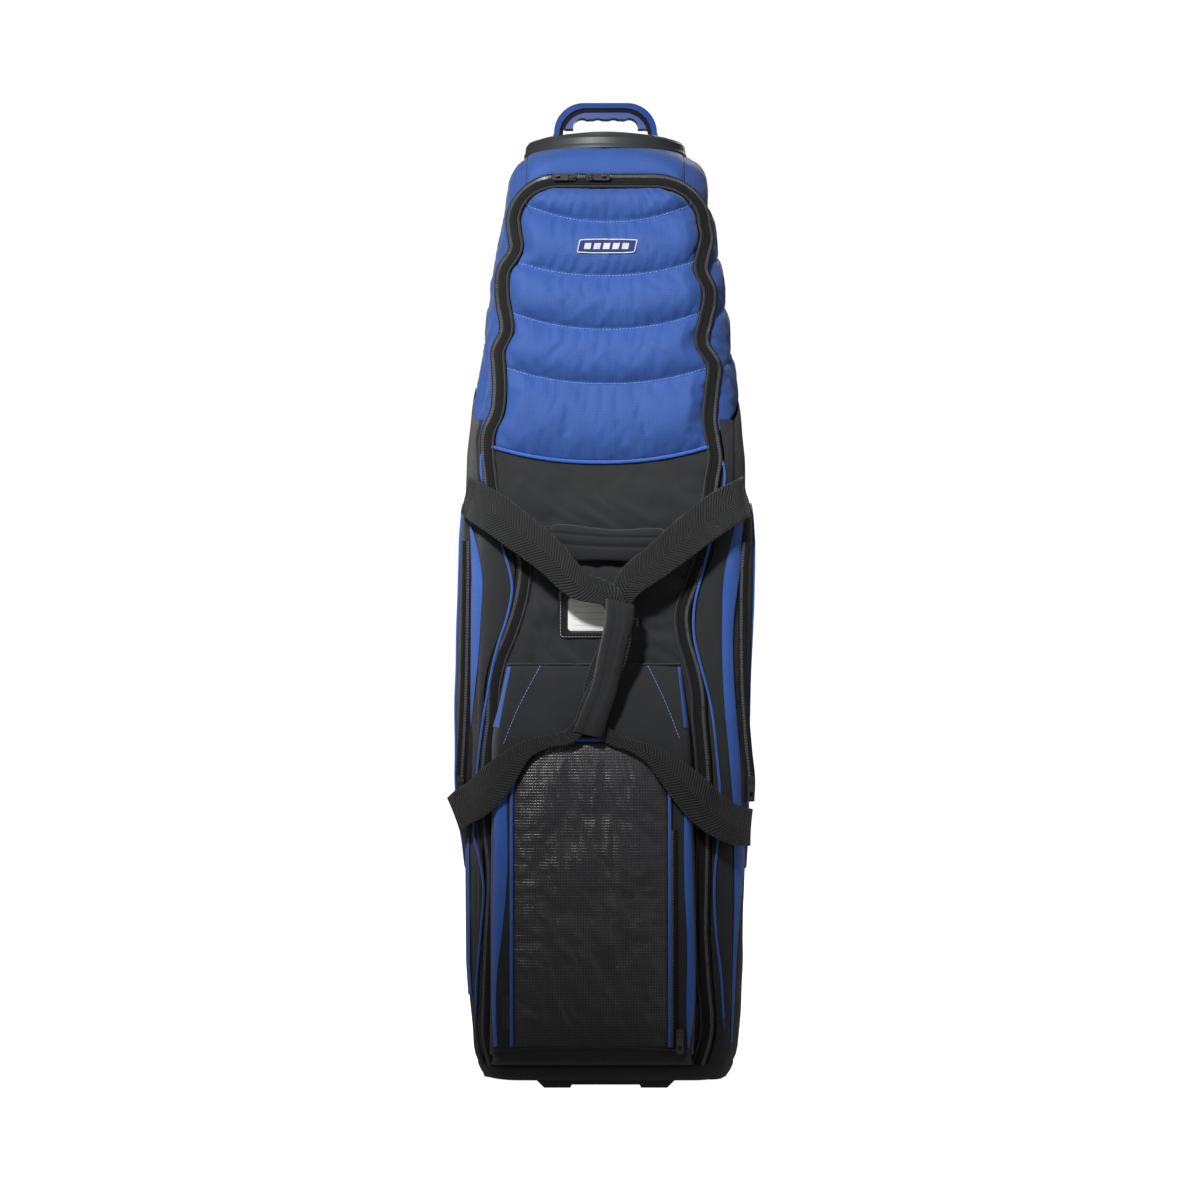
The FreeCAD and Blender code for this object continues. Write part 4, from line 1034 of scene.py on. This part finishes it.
piping("zip_piping_left_top", [(-159, 826), (-160, 805), (-158, 786)], 1.6, 3.2, n=24)
piping("zip_piping_right_top", [(150, 815), (153, 797), (152, 778)], 1.6, 3.2, n=24)
piping("zip_piping_left", [(-136, 712), (-130, 692), (-121, 653), (-128, 610), (-137, 582), (-153, 505), (-161, 450),
                           (-165, 408), (-168, 360), (-169, 330), (-162, 300), (-157, 268), (-160, 207), (-165, 140),
                           (-166, 95)], 1.7, 3.0)
piping("zip_piping_right", [(147, 750), (138, 720), (124, 666), (115, 628), (114, 590), (122, 552), (132, 516),
                            (144, 422), (147, 384), (143, 313), (140, 272), (142, 203), (148, 149), (152, 78)],
       1.7, 3.0)
strip("side_insert_right", (770, 60), [(60, 160), (95, 161), (176, 163), (230, 164.5), (286, 164.5), (367, 163),
      (422, 159), (503, 152), (557, 149.6), (612, 149.6), (666, 152), (720, 163), (770, 175)],
      [(60, 162), (95, 164), (176, 168), (230, 172), (286, 178), (367, 175), (422, 172.6), (503, 166), (557, 163),
       (612, 164), (666, 171), (720, 175), (770, 176)])
strip("side_insert_left", (730, 120), [(120, -176), (176, -179), (257, -180), (340, -180), (422, -177), (503, -169),
      (557, -163.5), (612, -160), (666, -158.5), (700, -164), (730, -172)],
      [(120, -178), (176, -182), (257, -185.5), (340, -187), (422, -184.6), (503, -180), (557, -176), (612, -174),
       (666, -172), (700, -173), (730, -174)])


# ---- front pocket ------------------------------------------------------------------------
POCKET_LEFT = [(56, -150), (150, -149), (250, -149), (330, -148), (400, -147), (462, -146), (505, -137), (553, -128)]
POCKET_RIGHT = [(56, 114), (150, 117), (250, 116), (330, 114), (400, 111), (462, 108), (505, 103), (553, 96)]
POCKET_FOOT, POCKET_TOP = 48.0, 553.0
DOOR_LEFT, DOOR_RIGHT, DOOR_LOW, DOOR_TOP, DOOR_R = -118.0, 79.0, 60.0, 452.0, 72.0


def pocket_depth(z):
    """How far the front pocket's face stands off the wall at height z."""
    return 29.0 * np.clip((POCKET_TOP - z) / 95, 0, 1) ** 0.55 * (0.82 + 0.18 * np.clip((z - 50) / 40, 0, 1))


def pocket_point(x, z, lift=0.0):
    """The pocket's face: proud of the wall, falling to it round the outer edge."""
    x, z = np.broadcast_arrays(np.asarray(x, float), np.asarray(z, float))
    left, right = spline(POCKET_LEFT, z), spline(POCKET_RIGHT, z)
    edge = np.clip(np.minimum(x - left, right - x) / 12.0, 0, 1)
    depth = pocket_depth(z) * (1 - (1 - edge) ** 2.4) ** 0.6
    wall = surf(s_of_x(x, z), z, 0)
    y = np.minimum(wall[..., 1], -160.0) - 2.0 - depth - lift
    return np.stack([x, y, z], -1)


def on_pocket(path, lift):
    """A front-view path laid on the pocket's face."""
    return pocket_point(path[:, 0], path[:, 1], lift)


def pocket_shell():
    """The pouch: its face round the door, its gussets and its foot."""
    u, v = lattice(130, 70)
    z = between(POCKET_FOOT, POCKET_TOP, v)
    x = between(spline(POCKET_LEFT, z), spline(POCKET_RIGHT, z), u - 0.06 * np.sin(2 * np.pi * u))
    sag = noise3(front_view(x, z), 55.0, 61) * 0.5 * np.clip((POCKET_TOP - z) / 50, 0, 1)
    slider_dent = 2.4 * np.exp(-((x - 85) / 9) ** 2)
    p = pocket_point(x, z, sag - slider_dent)
    wall = np.minimum(surf(s_of_x(p[0][:, 0], 36.0), 36.0, 0.5)[:, 1], -158)
    turn = []
    for a in np.radians(np.linspace(90, 12, 7)):
        row = p[0].copy()
        row[:, 0] = row[:, 0] * (1 - 0.03 * math.cos(a))
        row[:, 1] = wall + (p[0][:, 1] - wall) * math.cos(a) ** 0.8
        row[:, 2] = POCKET_FOOT - 15 * math.sin(a)
        turn.append(row)
    p = np.concatenate([turn, p], 0)
    place(paint(grid("front_pocket_shell", p, p[..., [0, 2]]), "black"), "lid", "front_pocket_pouch")


def arch_x(side, z, grow=0.0):
    """The door's outline on one side at height z."""
    z = np.asarray(z, float)
    edge = (DOOR_RIGHT if side > 0 else DOOR_LEFT) + side * grow
    r = DOOR_R + grow
    up = np.clip((z - (DOOR_TOP - DOOR_R)) / r, 0, 1)
    return edge - side * r * (1 - np.sqrt(1 - up**2))


def arch_path(grow):
    """The arch from the left foot over the top to the right foot."""
    straight = np.arange(DOOR_LOW, DOOR_TOP - DOOR_R, 3.0)
    turn = DOOR_TOP - DOOR_R + (DOOR_R + grow) * np.sin(np.linspace(0, np.pi / 2, 30))
    z = np.concatenate([straight, turn])
    left, right = pair(arch_x(-1, z, grow), z), pair(arch_x(1, z, grow), z)[::-1]
    top = pair(np.linspace(left[-1, 0], right[0, 0], 30), DOOR_TOP + grow)[1:-1]
    return np.concatenate([left, top, right])


def pocket_door():
    """The arched door of light ripstop, slack enough to pucker."""
    u, v = lattice(150, 78)
    z = between(DOOR_LOW, DOOR_TOP - 1.0, v)
    x = between(arch_x(-1, z, -1.0), arch_x(1, z, -1.0), u)
    edge = np.clip(np.minimum(np.minimum(u, 1 - u) * 5, np.minimum(v, 1 - v) * 8), 0, 1) ** 0.7
    cross, down = x * 0.93 + z * 0.36, z * 0.93 - x * 0.36
    folds = noise3(front_view(cross, down * 0.22), 17.0, 71)
    fine = noise3(front_view(cross * 1.6, down * 0.5), 12.0, 72)
    puckers = noise3(front_view(x * 0.4, z), 10.0, 73) * np.exp(-np.minimum(u, 1 - u) * 11)
    crease = np.clip(1 - np.abs(folds) * 3.2, 0, 1) ** 2 * np.clip(0.5 + fine * 2, 0, 1)
    lift = 0.6 + edge * (2.6 + 2.4 * folds + 1.4 * crease + 0.6 * fine + 2.6 * puckers)
    obj = grid("front_pocket_door_cloth", pocket_point(x, z, lift), pair(x, z))
    sew(obj, rim(u, v, 0.01, 0.005))
    SIM.append((obj, 0.7, 0.004, 0.7))
    place(paint(obj, "ripstop"), "lid", "front_pocket_door")


def pocket_strip(name, left, right, lift, mat="blue_piping_and_lit_insert", puff=0.8):
    """A flat insert on the pocket's face between two (z, x) edges. Its default brighter piping blue is painted light,
    standing in for lamp light that falls off on the lower case.
    """
    z = np.linspace(left[0][0], left[-1][0], 90)
    u = np.linspace(0, 1, 6)
    x = between(spline(left, z)[:, None], spline(right, z)[:, None], u)
    zz = z[:, None] + 0 * x
    obj = grid(name, pocket_point(x, zz, lift + puff * np.sin(np.pi * u) + 0 * x), pair(x, zz))
    place(paint(obj, mat), "lid")


def front_pocket():
    """The pouch with its door, zip, inserts and seams."""
    pocket_shell()
    pocket_door()
    z = np.arange(60.0, 340.0, 1.5)
    line = pair(arch_x(1, z, 6.0), z)
    profile = ((-7, 0.3), (-6, 1.6), (-1.2, 1.9), (0, 1.2), (1.2, 1.9), (6, 1.6), (7, 0.3))
    p = np.stack([on_pocket(line + [a, 0], h) for a, h in profile], 1)
    tape = paint(grid("pocket_zip_tape", p, pair(np.array([-7, -6, -1, 0, 1, 6, 7.0]), z[:, None])), "tape")
    teeth = coil_turns("pocket_zip_turns", on_pocket(line, 1.4))
    place(join("front_pocket_zip_cloth", [tape, teeth]), "lid", "front_pocket_zip")
    pocket_strip("pocket_insert_left", [(60, -144.5), (138, -147.5), (220, -148), (385, -147)],
                 [(60, -139.3), (138, -140.6), (220, -131.6), (275, -127), (385, -127)], 0.8)
    pocket_strip("pocket_insert_right", [(58, 105), (110, 103.4), (180, 104.6), (275, 100.8), (385, 100.8)],
                 [(58, 107), (110, 114), (180, 114.5), (275, 112), (385, 110)], 0.8)
    pocket_strip("pocket_corner_left", [(470, -146), (505, -136), (548, -127)],
                 [(470, -137), (505, -131), (548, -122)], 1.0)
    pocket_strip("pocket_corner_right", [(470, 100), (505, 97), (548, 93)],
                 [(470, 107), (505, 103), (548, 97)], 1.0)
    pocket_strip("pocket_patch_left", [(82, -133), (128, -133)], [(82, -122), (128, -124)], 1.4, "patent")
    for side, points in ((-1, [(-84, 550), (-92, 535), (-115, 490), (-132, 447)]),
                         (1, [(54, 550), (64, 530), (79, 497), (95, 455)])):
        path = on_pocket(smooth_path(points, 60), 1.2)
        stitches("pocket_stitch_" + label_of(side), path, 4.6, 3.2, 0.5, "lid", "thread_blue")
    top = pair(np.linspace(-127, 95, 90), 551)
    foot = pair(np.linspace(-144, 106, 90), 54 + 5 * np.sin(np.linspace(0, np.pi, 90)))
    for name, path, radius, lift, mat, sides in (
            ("front_pocket_piping", arch_path(3.0), 2.3, 1.6, "blue_piping_and_lit_insert", 10),
            ("pocket_top_seam", top, 1.5, 1.6, "black2", 8),
            ("pocket_foot_seam", foot, 1.3, 0.9, "black2", 8)):
        place(paint(tube(name, on_pocket(path, lift), radius, sides), mat), "lid")


# ---- card window, grab handle ------------------------------------------------------------
def rounded(x, z, radius, n=10):
    """The outline of a rounded rectangle seen from the front, x and z being its two ends each way."""
    pts = []
    for cx, cz, start in ((x[1] - radius, z[1] - radius, 0), (x[0] + radius, z[1] - radius, 90),
                          (x[0] + radius, z[0] + radius, 180), (x[1] - radius, z[0] + radius, 270)):
        for a in np.radians(np.linspace(start, start + 90, n)):
            pts.append((cx + radius * math.cos(a), cz + radius * math.sin(a)))
    return np.array(pts)


def plaque(name, x, z, y, thick, radius, mat, crown=0.0, hole=None):
    """A thin rounded plate facing the front, with an optional rounded window (x, z, radius) cut in it."""
    outer = rounded(x, z, radius)
    inner = rounded(*hole) if hole else outer * 0.001 + np.array([sum(x) / 2, sum(z) / 2]) * 0.999
    face = y - thick
    edge = min(1.0, thick * 0.6)
    toward = unit(inner - outer)
    rings = [(outer, y), (outer, face + edge), (outer + toward * edge, face)]
    rings += [(between(outer, inner, t), face - crown * math.sin(math.pi * t))
              for t in np.linspace(0.15, 0.85, 5)]
    rings += [(inner - toward * edge, face), (inner, face + edge), (inner, y)]
    pts = np.stack([np.column_stack([r[:, 0], np.full(len(r), h), r[:, 1]]) for r, h in rings])
    return paint(grid(name, pts, pts[..., [0, 2]], wrap=True), mat)


def card_window():
    """A patent frame stitched to the lid, with a ruled card behind clear vinyl."""
    y = -163.0
    edging = plaque("card_frame", (-61, 43), (584, 650), y, 2.6, 9, "patent", 0.5, ((-49, 41), (594, 637), 5))
    place(edging, "lid", "id_frame")
    card = [plaque("card", (-50, 42), (593, 638), y - 0.6, 0.5, 4, "card")]
    for k in range(4):
        z = 601 + 8.2 * k
        card.append(plaque("card_rule_%d" % k, (-42, 18 + 10 * (k % 2)), (z, z + 0.5), y - 1.05, 0.12, 0.2, "ink"))
    place(join("card", card), "lid", "id_card")
    place(plaque("card_vinyl", (-50.5, 42.5), (592.5, 638.5), y - 1.6, 0.3, 5, "vinyl"), "lid", "id_window")
    seam = rounded((-58.5, 40.5), (586.5, 647.5), 3.5, 8)
    seam = np.column_stack([seam[:, 0], np.full(len(seam), y - 2.75), seam[:, 1]])
    stitches("card_stitch", outline([*seam, seam[0]], 2), 4.2, 2.8, 0.42, "lid", "thread_white")


def power(wave_, p):
    """A sine or cosine raised to a power with its sign kept, for rounded-square sections."""
    return np.sign(wave_) * np.abs(wave_) ** p


def sleeve_with_ends(name, tube_name, end_name, pts, uv, shares, ends_uv, sink=0.0):
    """A padded tube with both ends closed by discs of twill, each drawn in by the shares."""
    parts = [paint(grid(tube_name, pts, uv, wrap=True), "pad")]
    for ring, inward in ((pts[0], -sink), (pts[-1], sink)):
        c = ring.mean(0)
        disc = np.stack([c + (ring - c) * f for f in shares])
        disc[2][:, 2] += inward
        parts.append(paint(grid(end_name, disc, disc[..., ends_uv], wrap=True), "black2"))
    return join(name, parts)


def grab_handle():
    """Padded sleeve folded round webbing, sewn to the lid at both ends."""
    q = np.linspace(0, 1, 70)[:, None]
    ang = (np.arange(96) * 2 * np.pi / 96)[None]
    arch = np.clip(np.sin(np.pi * q), 0, 1)
    end = rise(q, 0.06, 0.5)
    zc = 711 - 6.0 * q - 3.0 * arch
    z = zc + (16.5 + 5.0 * end + 1.2 * np.sin(9 * q)) * power(np.sin(ang), 0.75)
    y = -170.5 - 3.5 * arch ** 0.7 - (4.0 + 4.2 * end) * power(np.cos(ang), 0.8)
    crease = np.exp(-((z - zc + 2.5) / 2.0) ** 2) + 0.6 * np.exp(-((z - zc - 10) / 1.8) ** 2)
    pts = np.stack(np.broadcast_arrays(-72 + 150 * q, y + crease * (np.cos(ang) > 0) * 4.2, z), -1)
    pts[..., 1] += noise3(pts, 18.0, 81) * 0.9
    pts[..., 2] += noise3(pts, 30.0, 82) * 0.8
    sleeve = sleeve_with_ends("grab_sleeve_cloth", "grab_sleeve", "grab_cap", pts, pair(ang * 12, 150 * q),
                              (1.0, 0.6, 0.02), [1, 2])
    refine(place(sleeve, "grab_handle", "grab_handle_sleeve"))
    webs = []
    for x0, x1, z0 in ((-68, -106, 711), (74, 115, 705)):
        step = np.sign(x1 - x0)
        c = np.array([(x0 - step * 6, -173.5, z0), (x0 + step * 4, -171.5, z0), (x0 + step * 11, -167.2, z0),
                      (x0 + step * 18, -165.4, z0), (x1 - step * 4, -165.2, z0), (x1, -165.0, z0)])
        c = along(c, np.linspace(0, 1, len(c)), np.linspace(0, 1, 30))
        webs.append(paint(ribbon("grab_web", c, np.tile([0, 0, 18.0], (30, 1)), 1.7, 9), "web"))
        lo, hi = sorted((x0 + step * 19, x1 - step * 3))
        low, top = z0 - 15, z0 + 15
        box = outline([(x, -166.5, z)
                       for x, z in ((lo, low), (hi, low), (hi, top), (lo, top), (lo, low), (hi, top))], 1.5)
        stitches("grab_stitch_" + label_of(step), box, 3.6, 2.5, 0.4, "lid", "thread_black")
    place(join("grab_webbing", webs), "lid", "grab_handle_webbing")


# ---- side pockets ------------------------------------------------------------------------
SP_Y, SP_Z, SP_R = (-141.0, 96.0), (258.0, 782.0), 96.0
POCKET_SWELL = {  # how far the empty pocket stands off, by height
    1: [(258, 3), (320, 6), (400, 8), (480, 9), (560, 12), (640, 15), (720, 15), (760, 11), (782, 5)],
    -1: [(258, 3), (310, 7), (350, 15), (400, 22), (440, 22), (520, 19), (620, 16), (700, 12), (750, 8), (782, 4)],
}


def rounded_ring(ay, az, r, angles):
    """A rounded rectangle round the origin, with one point in each direction."""
    ring = []
    for a in angles:
        c, s = math.cos(a), math.sin(a)
        t = min(ay / max(abs(c), 1e-6), az / max(abs(s), 1e-6))
        if abs(c * t) > ay - r and abs(s * t) > az - r:
            ky, kz = math.copysign(ay - r, c), math.copysign(az - r, s)
            b = c * ky + s * kz
            t = b + math.sqrt(max(b * b - (ky * ky + kz * kz - r * r), 0))
        ring.append((c * t, s * t))
    return np.array(ring)


def side_pocket(side):
    """A pouch standing off the side wall, round at its corners and edges."""
    cy, cz = sum(SP_Y) / 2, sum(SP_Z) / 2
    hy, hz = (SP_Y[1] - SP_Y[0]) / 2, (SP_Z[1] - SP_Z[0]) / 2
    ang = np.arange(140) * 2 * np.pi / 140
    pts, uvs = [], []
    for f in np.arange(16) / 15:
        inset = hy * 0.998 * f ** 1.6
        ay, az = max(hy - inset, 0.3), max(hz - inset, 0.3)
        ring = rounded_ring(ay, az, min(max(SP_R - inset * 0.8, 2.0), ay, az), ang)
        y, z = cy + ring[:, 0], cz + ring[:, 1]
        full = spline(POCKET_SWELL[side], z) * np.clip(1.15 - 0.35 * np.abs(y - 40) / 120, 0.5, 1)
        height = full * (1 - (1 - min(f / 0.27, 1)) ** 2.2)
        p = surf(side * s_side(y, z), z, height - (0 if len(pts) else 3.0))
        p = p + np.array([side, 0, 0]) * (noise3(p, 70.0, 90 + side) * 1.6 * min(f * 4, 1))[:, None]
        pts.append(p)
        uvs.append(pair(y, z))
    rim_ring = np.concatenate([pts[5], pts[5][:1]]) + [side * 1.2, 0, 0]
    place(paint(tube("side_pocket_piping_" + label_of(side), rim_ring, 1.7, 8), "blue_piping_and_lit_insert"), "case")
    return paint(grid("side_pocket_cloth_" + label_of(side), np.stack(pts), np.stack(uvs), wrap=True), "black")


SIDE_ZIP_X = {
    1: [(370, 186), (400, 187), (440, 183), (505, 178), (600, 176), (690, 178), (715, 180)],
    -1: [(370, 186), (400, 187), (440, 185), (505, 182), (600, 180), (690, 179), (715, 179)],
}


def side_zip(side):
    """The zip along the pocket's front edge."""
    z = np.arange(372, 712, 1.5)
    y = -142.6 + 3.0 * np.clip(np.abs(z - 541) / 170, 0, 1) ** 6
    line = np.stack([side * spline(SIDE_ZIP_X[side], z), y, z], -1)
    profile = ((-7, -1.5), (-6, 0.6), (-1, 1.1), (0, 0.4), (1, 1.1), (6, 0.4), (7.5, -2.5))
    p = np.stack([line + [side * a, -h, 0] for a, h in profile], 1)
    tape = paint(grid("side_zip_tape", p, pair(np.array(profile)[:, 0], z[:, None])), "tape")
    return join("side_zip_cloth_" + label_of(side), [tape, coil_turns("side_zip_turns", line - [0, 0.6, 0])])


# ---- carry straps and wrap ---------------------------------------------------------------
def carry_strap(side):
    """Webbing from the side seam to the wrap and back to the lower side seam, as (x, y, z, half width)."""
    label = label_of(side)
    lay = 3.4 if side > 0 else -3.4
    up = [(183, -133, 771, 24), (174, -158, 764, 25), (150, -178, 750, 25), (112, -196, 722, 24),
          (66, -205, 684, 21), (34 - side * 4, -207, 655, 18)]
    mid = [(14 + side * 6, -206 + lay, 636, 14), (17, -206 + lay, 612, 13)]
    turn = [(-14, -206 + lay, 492, 12), (-9, -206 + lay, 472, 9), (8, -206 + lay, 457, 8)]
    if side < 0:
        turn = [(-22, -206 + lay, 492, 12), (-32, -206 + lay, 474, 9), (-46, -206 + lay, 460, 8)]
    low = [(30, -206, 449, 7), (57, -206, 437, 11), (79, -206, 419, 17), (106, -203, 392, 23), (134, -197, 364, 25),
           (158, -187, 348, 25), (178, -165, 341, 24), (188, -145, 339, 23)]
    if side < 0:
        low = [(76, -206, 453, 8), (104, -205, 441, 11), (126, -202, 420, 18), (146, -194, 397, 24),
               (164, -184, 380, 25), (186, -162, 366, 24), (197, -145, 356, 23)]
    rows = [(side * x if abs(x) > 21 else x, y, z, w) for x, y, z, w in up] + mid
    rows += turn + [(side * x, y, z, w) for x, y, z, w in low]
    p = smooth_path(rows, 220)
    c, half = p[:, :3], p[:, 3]
    d = unit(np.gradient(c, axis=0))
    lean = np.clip((np.abs(c[:, 0]) - 120) / 60, 0, 1)
    out = np.column_stack([side * lean * 0.8, np.full(len(c), -1.0),
                           0.10 * np.sin(5 * np.pi * np.linspace(0, 1, len(c)))])
    a = unit(np.cross(d, out))
    c = c + out * (noise3(c, 45.0, 100 + side) * 1.6)[:, None]
    web = paint(ribbon("carry_webbing_" + label, c, a * half[:, None], 2.3, 13, crown=0.9), "web")
    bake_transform(web)
    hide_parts("carry_strap_" + label)
    for at, tag in ((6, "top"), (-9, "foot")):
        q = np.cross(a[at], d[at])
        q = q if q[1] < 0 else -q
        w = half[at] * 0.8
        box = outline([c[at] + a[at] * u + d[at] * v
                       for u, v in ((-w, -9), (w, -9), (w, 9), (-w, 9), (-w, -9))], 1.5)
        thread = stitches("carry_stitch_%s_%s" % (label, tag), box + q * 1.9, 3.6, 2.6, 0.4, None, "thread_black")
        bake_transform(thread)


def carry_wrap():
    """The padded wrap round both webbings, closed by an overlap down its right half."""
    q = np.linspace(0, 1, 70)[:, None]
    ang = (np.arange(72) * 2 * np.pi / 72)[None]
    top, low = np.array([17.0, -206, 632]), np.array([-23.0, -206, 462])
    centre = top + (low - top) * q
    centre[:, 0] = spline([(462, -24), (490, -14), (520, -3), (570, 8), (610, 17), (632, 18)], centre[:, 2])
    outside = np.sin(ang) > 0
    px = power(np.cos(ang), 0.7) * (18.5 - 1.5 * np.sin(np.pi * q) + 0.8 * np.sin(7 * q + 1))
    py = -power(np.sin(ang), 0.8) * (8.5 + 2.0 * rise(q, 0.05, 0.5))
    overlap = 3.0 / (1 + np.exp(-(px - 4.5 - 2.0 * np.sin(5 * q)) / 0.5)) * outside
    crease = np.exp(-((px + 6 - 2 * np.sin(3 * q)) / 1.4) ** 2) * outside * 1.4
    lean = unit(low - top)
    across = np.array([-lean[2], 0, lean[0]])
    pts = centre[:, None] + across * px[..., None] + np.array([0, 1.0, 0]) * (py - overlap + crease)[..., None]
    pts[..., 1] += noise3(pts, 16.0, 111) * 0.9
    pts[..., 0] += noise3(pts, 34.0, 112) * 1.0
    wrap = sleeve_with_ends("carry_wrap_cloth", "wrap_cloth", "wrap_end", pts, pair(ang * 15, 170 * q),
                            (1.0, 0.86, 0.8), [0, 1], sink=6)
    refine(place(wrap, "strap_left", "carry_wrap"))


front_pocket()
card_window()
grab_handle()
place(join("side_pocket_cloth", [side_pocket(k) for k in (-1, 1)]), "case", "side_pockets")
place(join("side_zip_cloth", [side_zip(k) for k in (-1, 1)]), "case", "side_zips")
for k in (-1, 1):
    carry_strap(k)
carry_wrap()


# ---- hard pieces: finishes and softened edges --------------------------------------------
def finish_node(name, mat, edge):
    """A CAD node kept as it is, with a finish and a bevel."""
    obj = paint(NODES[name], mat)
    for p in obj.data.polygons:
        p.use_smooth = True
    m = obj.modifiers.new("edge", "BEVEL")
    m.width = edge * MM
    m.segments = 2
    m.limit_method = "ANGLE"
    m.angle_limit = math.radians(28)
    m.harden_normals = True
    n = obj.modifiers.new("flat", "WEIGHTED_NORMAL")
    n.keep_sharp = True


HARD = {
    "top_cap": ("plastic", 0.8), "cap_clamp_ring": ("plastic2", 0.6), "cap_screws": ("steel", 0.3),
    "handle_turntable": ("plastic", 0.7), "handle_cover": ("blue_gloss", 0.8), "handle_frame": ("gloss_black", 0.6),
    "handle_grip": ("blue_rubber", 0.8), "swivel_spindle": ("steel", 0.3), "swivel_fasteners": ("steel", 0.4),
    "wheel_axles": ("steel", 0.4), "axle_nuts": ("steel", 0.4), "wheel_housings": ("plastic2", 1.0),
    "base_tray": ("plastic2", 0.8), "base_board": ("plastic", 0.6), "front_stand": ("plastic2", 1.6),
    "base_rivets": ("steel", 0.4), "buckle_socket": ("gloss_black", 0.6), "buckle_tongue": ("gloss_black", 0.5),
}
for k in ("left", "right"):
    HARD.update({"wheel_tyre_" + k: ("pu", 0.6), "wheel_hub_" + k: ("plastic", 0.5),
                 "wheel_bearings_" + k: ("steel", 0.2), "main_slider_" + k: ("metal", 0.5),
                 "main_pull_" + k: ("metal", 0.4), "side_slider_" + k: ("metal", 0.5),
                 "side_pull_" + k: ("metal", 0.4)})
HARD.update({"front_pocket_slider": ("metal", 0.5), "front_pocket_pull": ("metal", 0.4)})
for node, (mat, edge) in HARD.items():
    finish_node(node, mat, edge)


# ---- inside ------------------------------------------------------------------------------
def back_pad():
    """A quilted pad on the inner back wall."""
    u, v = lattice(90, 34)
    x, z = -117 + 234 * u, 101 + 698 * v
    edge = np.clip(np.minimum(np.minimum(u, 1 - u) * 14, np.minimum(v, 1 - v) * 30), 0, 1) ** 0.6
    rib = np.abs(np.sin(np.pi * v * 9)) ** 0.5
    y = 146 - 6.5 * edge * (0.45 + 0.55 * rib) + noise3(front_view(x, z), 40.0, 121) * 0.6
    place(paint(grid("back_pad_cloth", np.stack([x, y, z], -1), pair(x, z)), "lining"), "case", "back_pad")


def cinch_strap():
    """Webbing from both walls to the buckle. The left half gets a mesh of its own."""
    wall, tongue, y, z, travel = -162.0, -24.0, -139.8, 600.0, 35.0
    webs = []
    for x0, x1 in ((wall, tongue), (29, -wall)):
        t = np.linspace(0, 1, 50)
        sag = 3.0 * np.sin(np.pi * t) + 1.0 * np.sin(3 * np.pi * t)
        c = np.stack([between(x0, x1, t), y + sag * 0.6, z + 0 * t], -1)
        web = ribbon("cinch_webbing_" + label_of(x0), c, np.tile([0, 0, 18.5], (50, 1)), 1.8, 9)
        webs.append(place(paint(web, "web"), "case", "cinch_strap"))
    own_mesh(webs[0])


back_pad()
cinch_strap()
simulate()
quilt_stitches(quilt_panel)
badge(quilt_panel)


# ---- camera, floor and light -------------------------------------------------------------
def stage_light(name, kind, at, aim, power, **settings):
    """A lamp that shines from one point towards another."""
    lamp = bpy.data.lights.new(name, kind)
    lamp.energy = power
    for key, value in settings.items():
        setattr(lamp, key, value)
    obj = bpy.data.objects.new(name, lamp)
    obj.location = at
    obj.rotation_euler = (Vector(aim) - Vector(at)).to_track_quat("-Z", "Y").to_euler()
    bpy.context.scene.collection.objects.link(obj)


def studio():
    """Camera, floor, world and lamps."""
    scene = bpy.context.scene
    cam = bpy.data.objects.new("camera", bpy.data.cameras.new("camera"))
    scene.collection.objects.link(cam)
    cam.location = (-0.0074, ROW_Y * MM - 4.2, 0.634)
    cam.rotation_euler = (math.radians(90), 0, 0)
    cam.data.lens = 93.7
    cam.data.sensor_width = 36
    scene.camera = cam

    bpy.ops.mesh.primitive_plane_add(size=40, location=(0, 0, 0))
    floor = bpy.context.object
    floor.name = "floor"
    sh = Shader("floor_white")
    sh.finish((0.9, 0.9, 0.9, 1), 0.9, spec=0.1)
    sh.put(sh.bsdf.inputs["Emission Color"], (1, 1, 1, 1))
    sh.put(sh.bsdf.inputs["Emission Strength"], sh.node("ShaderNodeLightPath").outputs["Is Camera Ray"])
    floor.data.materials.append(sh.mat)

    world = bpy.data.worlds.new("studio")
    scene.world = world
    world.use_nodes = True
    tree = world.node_tree
    path = tree.nodes.new("ShaderNodeLightPath")
    level = tree.nodes.new("ShaderNodeMapRange")
    level.inputs["To Min"].default_value = 0.13
    level.inputs["To Max"].default_value = 1.05
    tree.links.new(path.outputs["Is Camera Ray"], level.inputs["Value"])
    tree.links.new(level.outputs[0], tree.nodes["Background"].inputs[1])
    tree.nodes["Background"].inputs[0].default_value = (1, 1, 1, 1)

    stage_light("fill", "AREA", (1.9, -2.9, 0.9), (0, 0, 0.7), 7, size=1.2)
    stage_light("left", "AREA", (-2.4, -1.6, 1.2), (0, 0, 0.7), 7, size=1.0)
    stage_light("behind", "AREA", (0.6, 3.0, 2.0), (0, 0, 0.6), 40, size=1.6)
    stage_light("flash", "SPOT", (-0.75, -2.15, 2.2), (0, 0, 0.86), 430, spot_size=math.radians(30), spot_blend=1.0,
                shadow_soft_size=0.16)
    scene.view_settings.view_transform = "Standard"


studio()
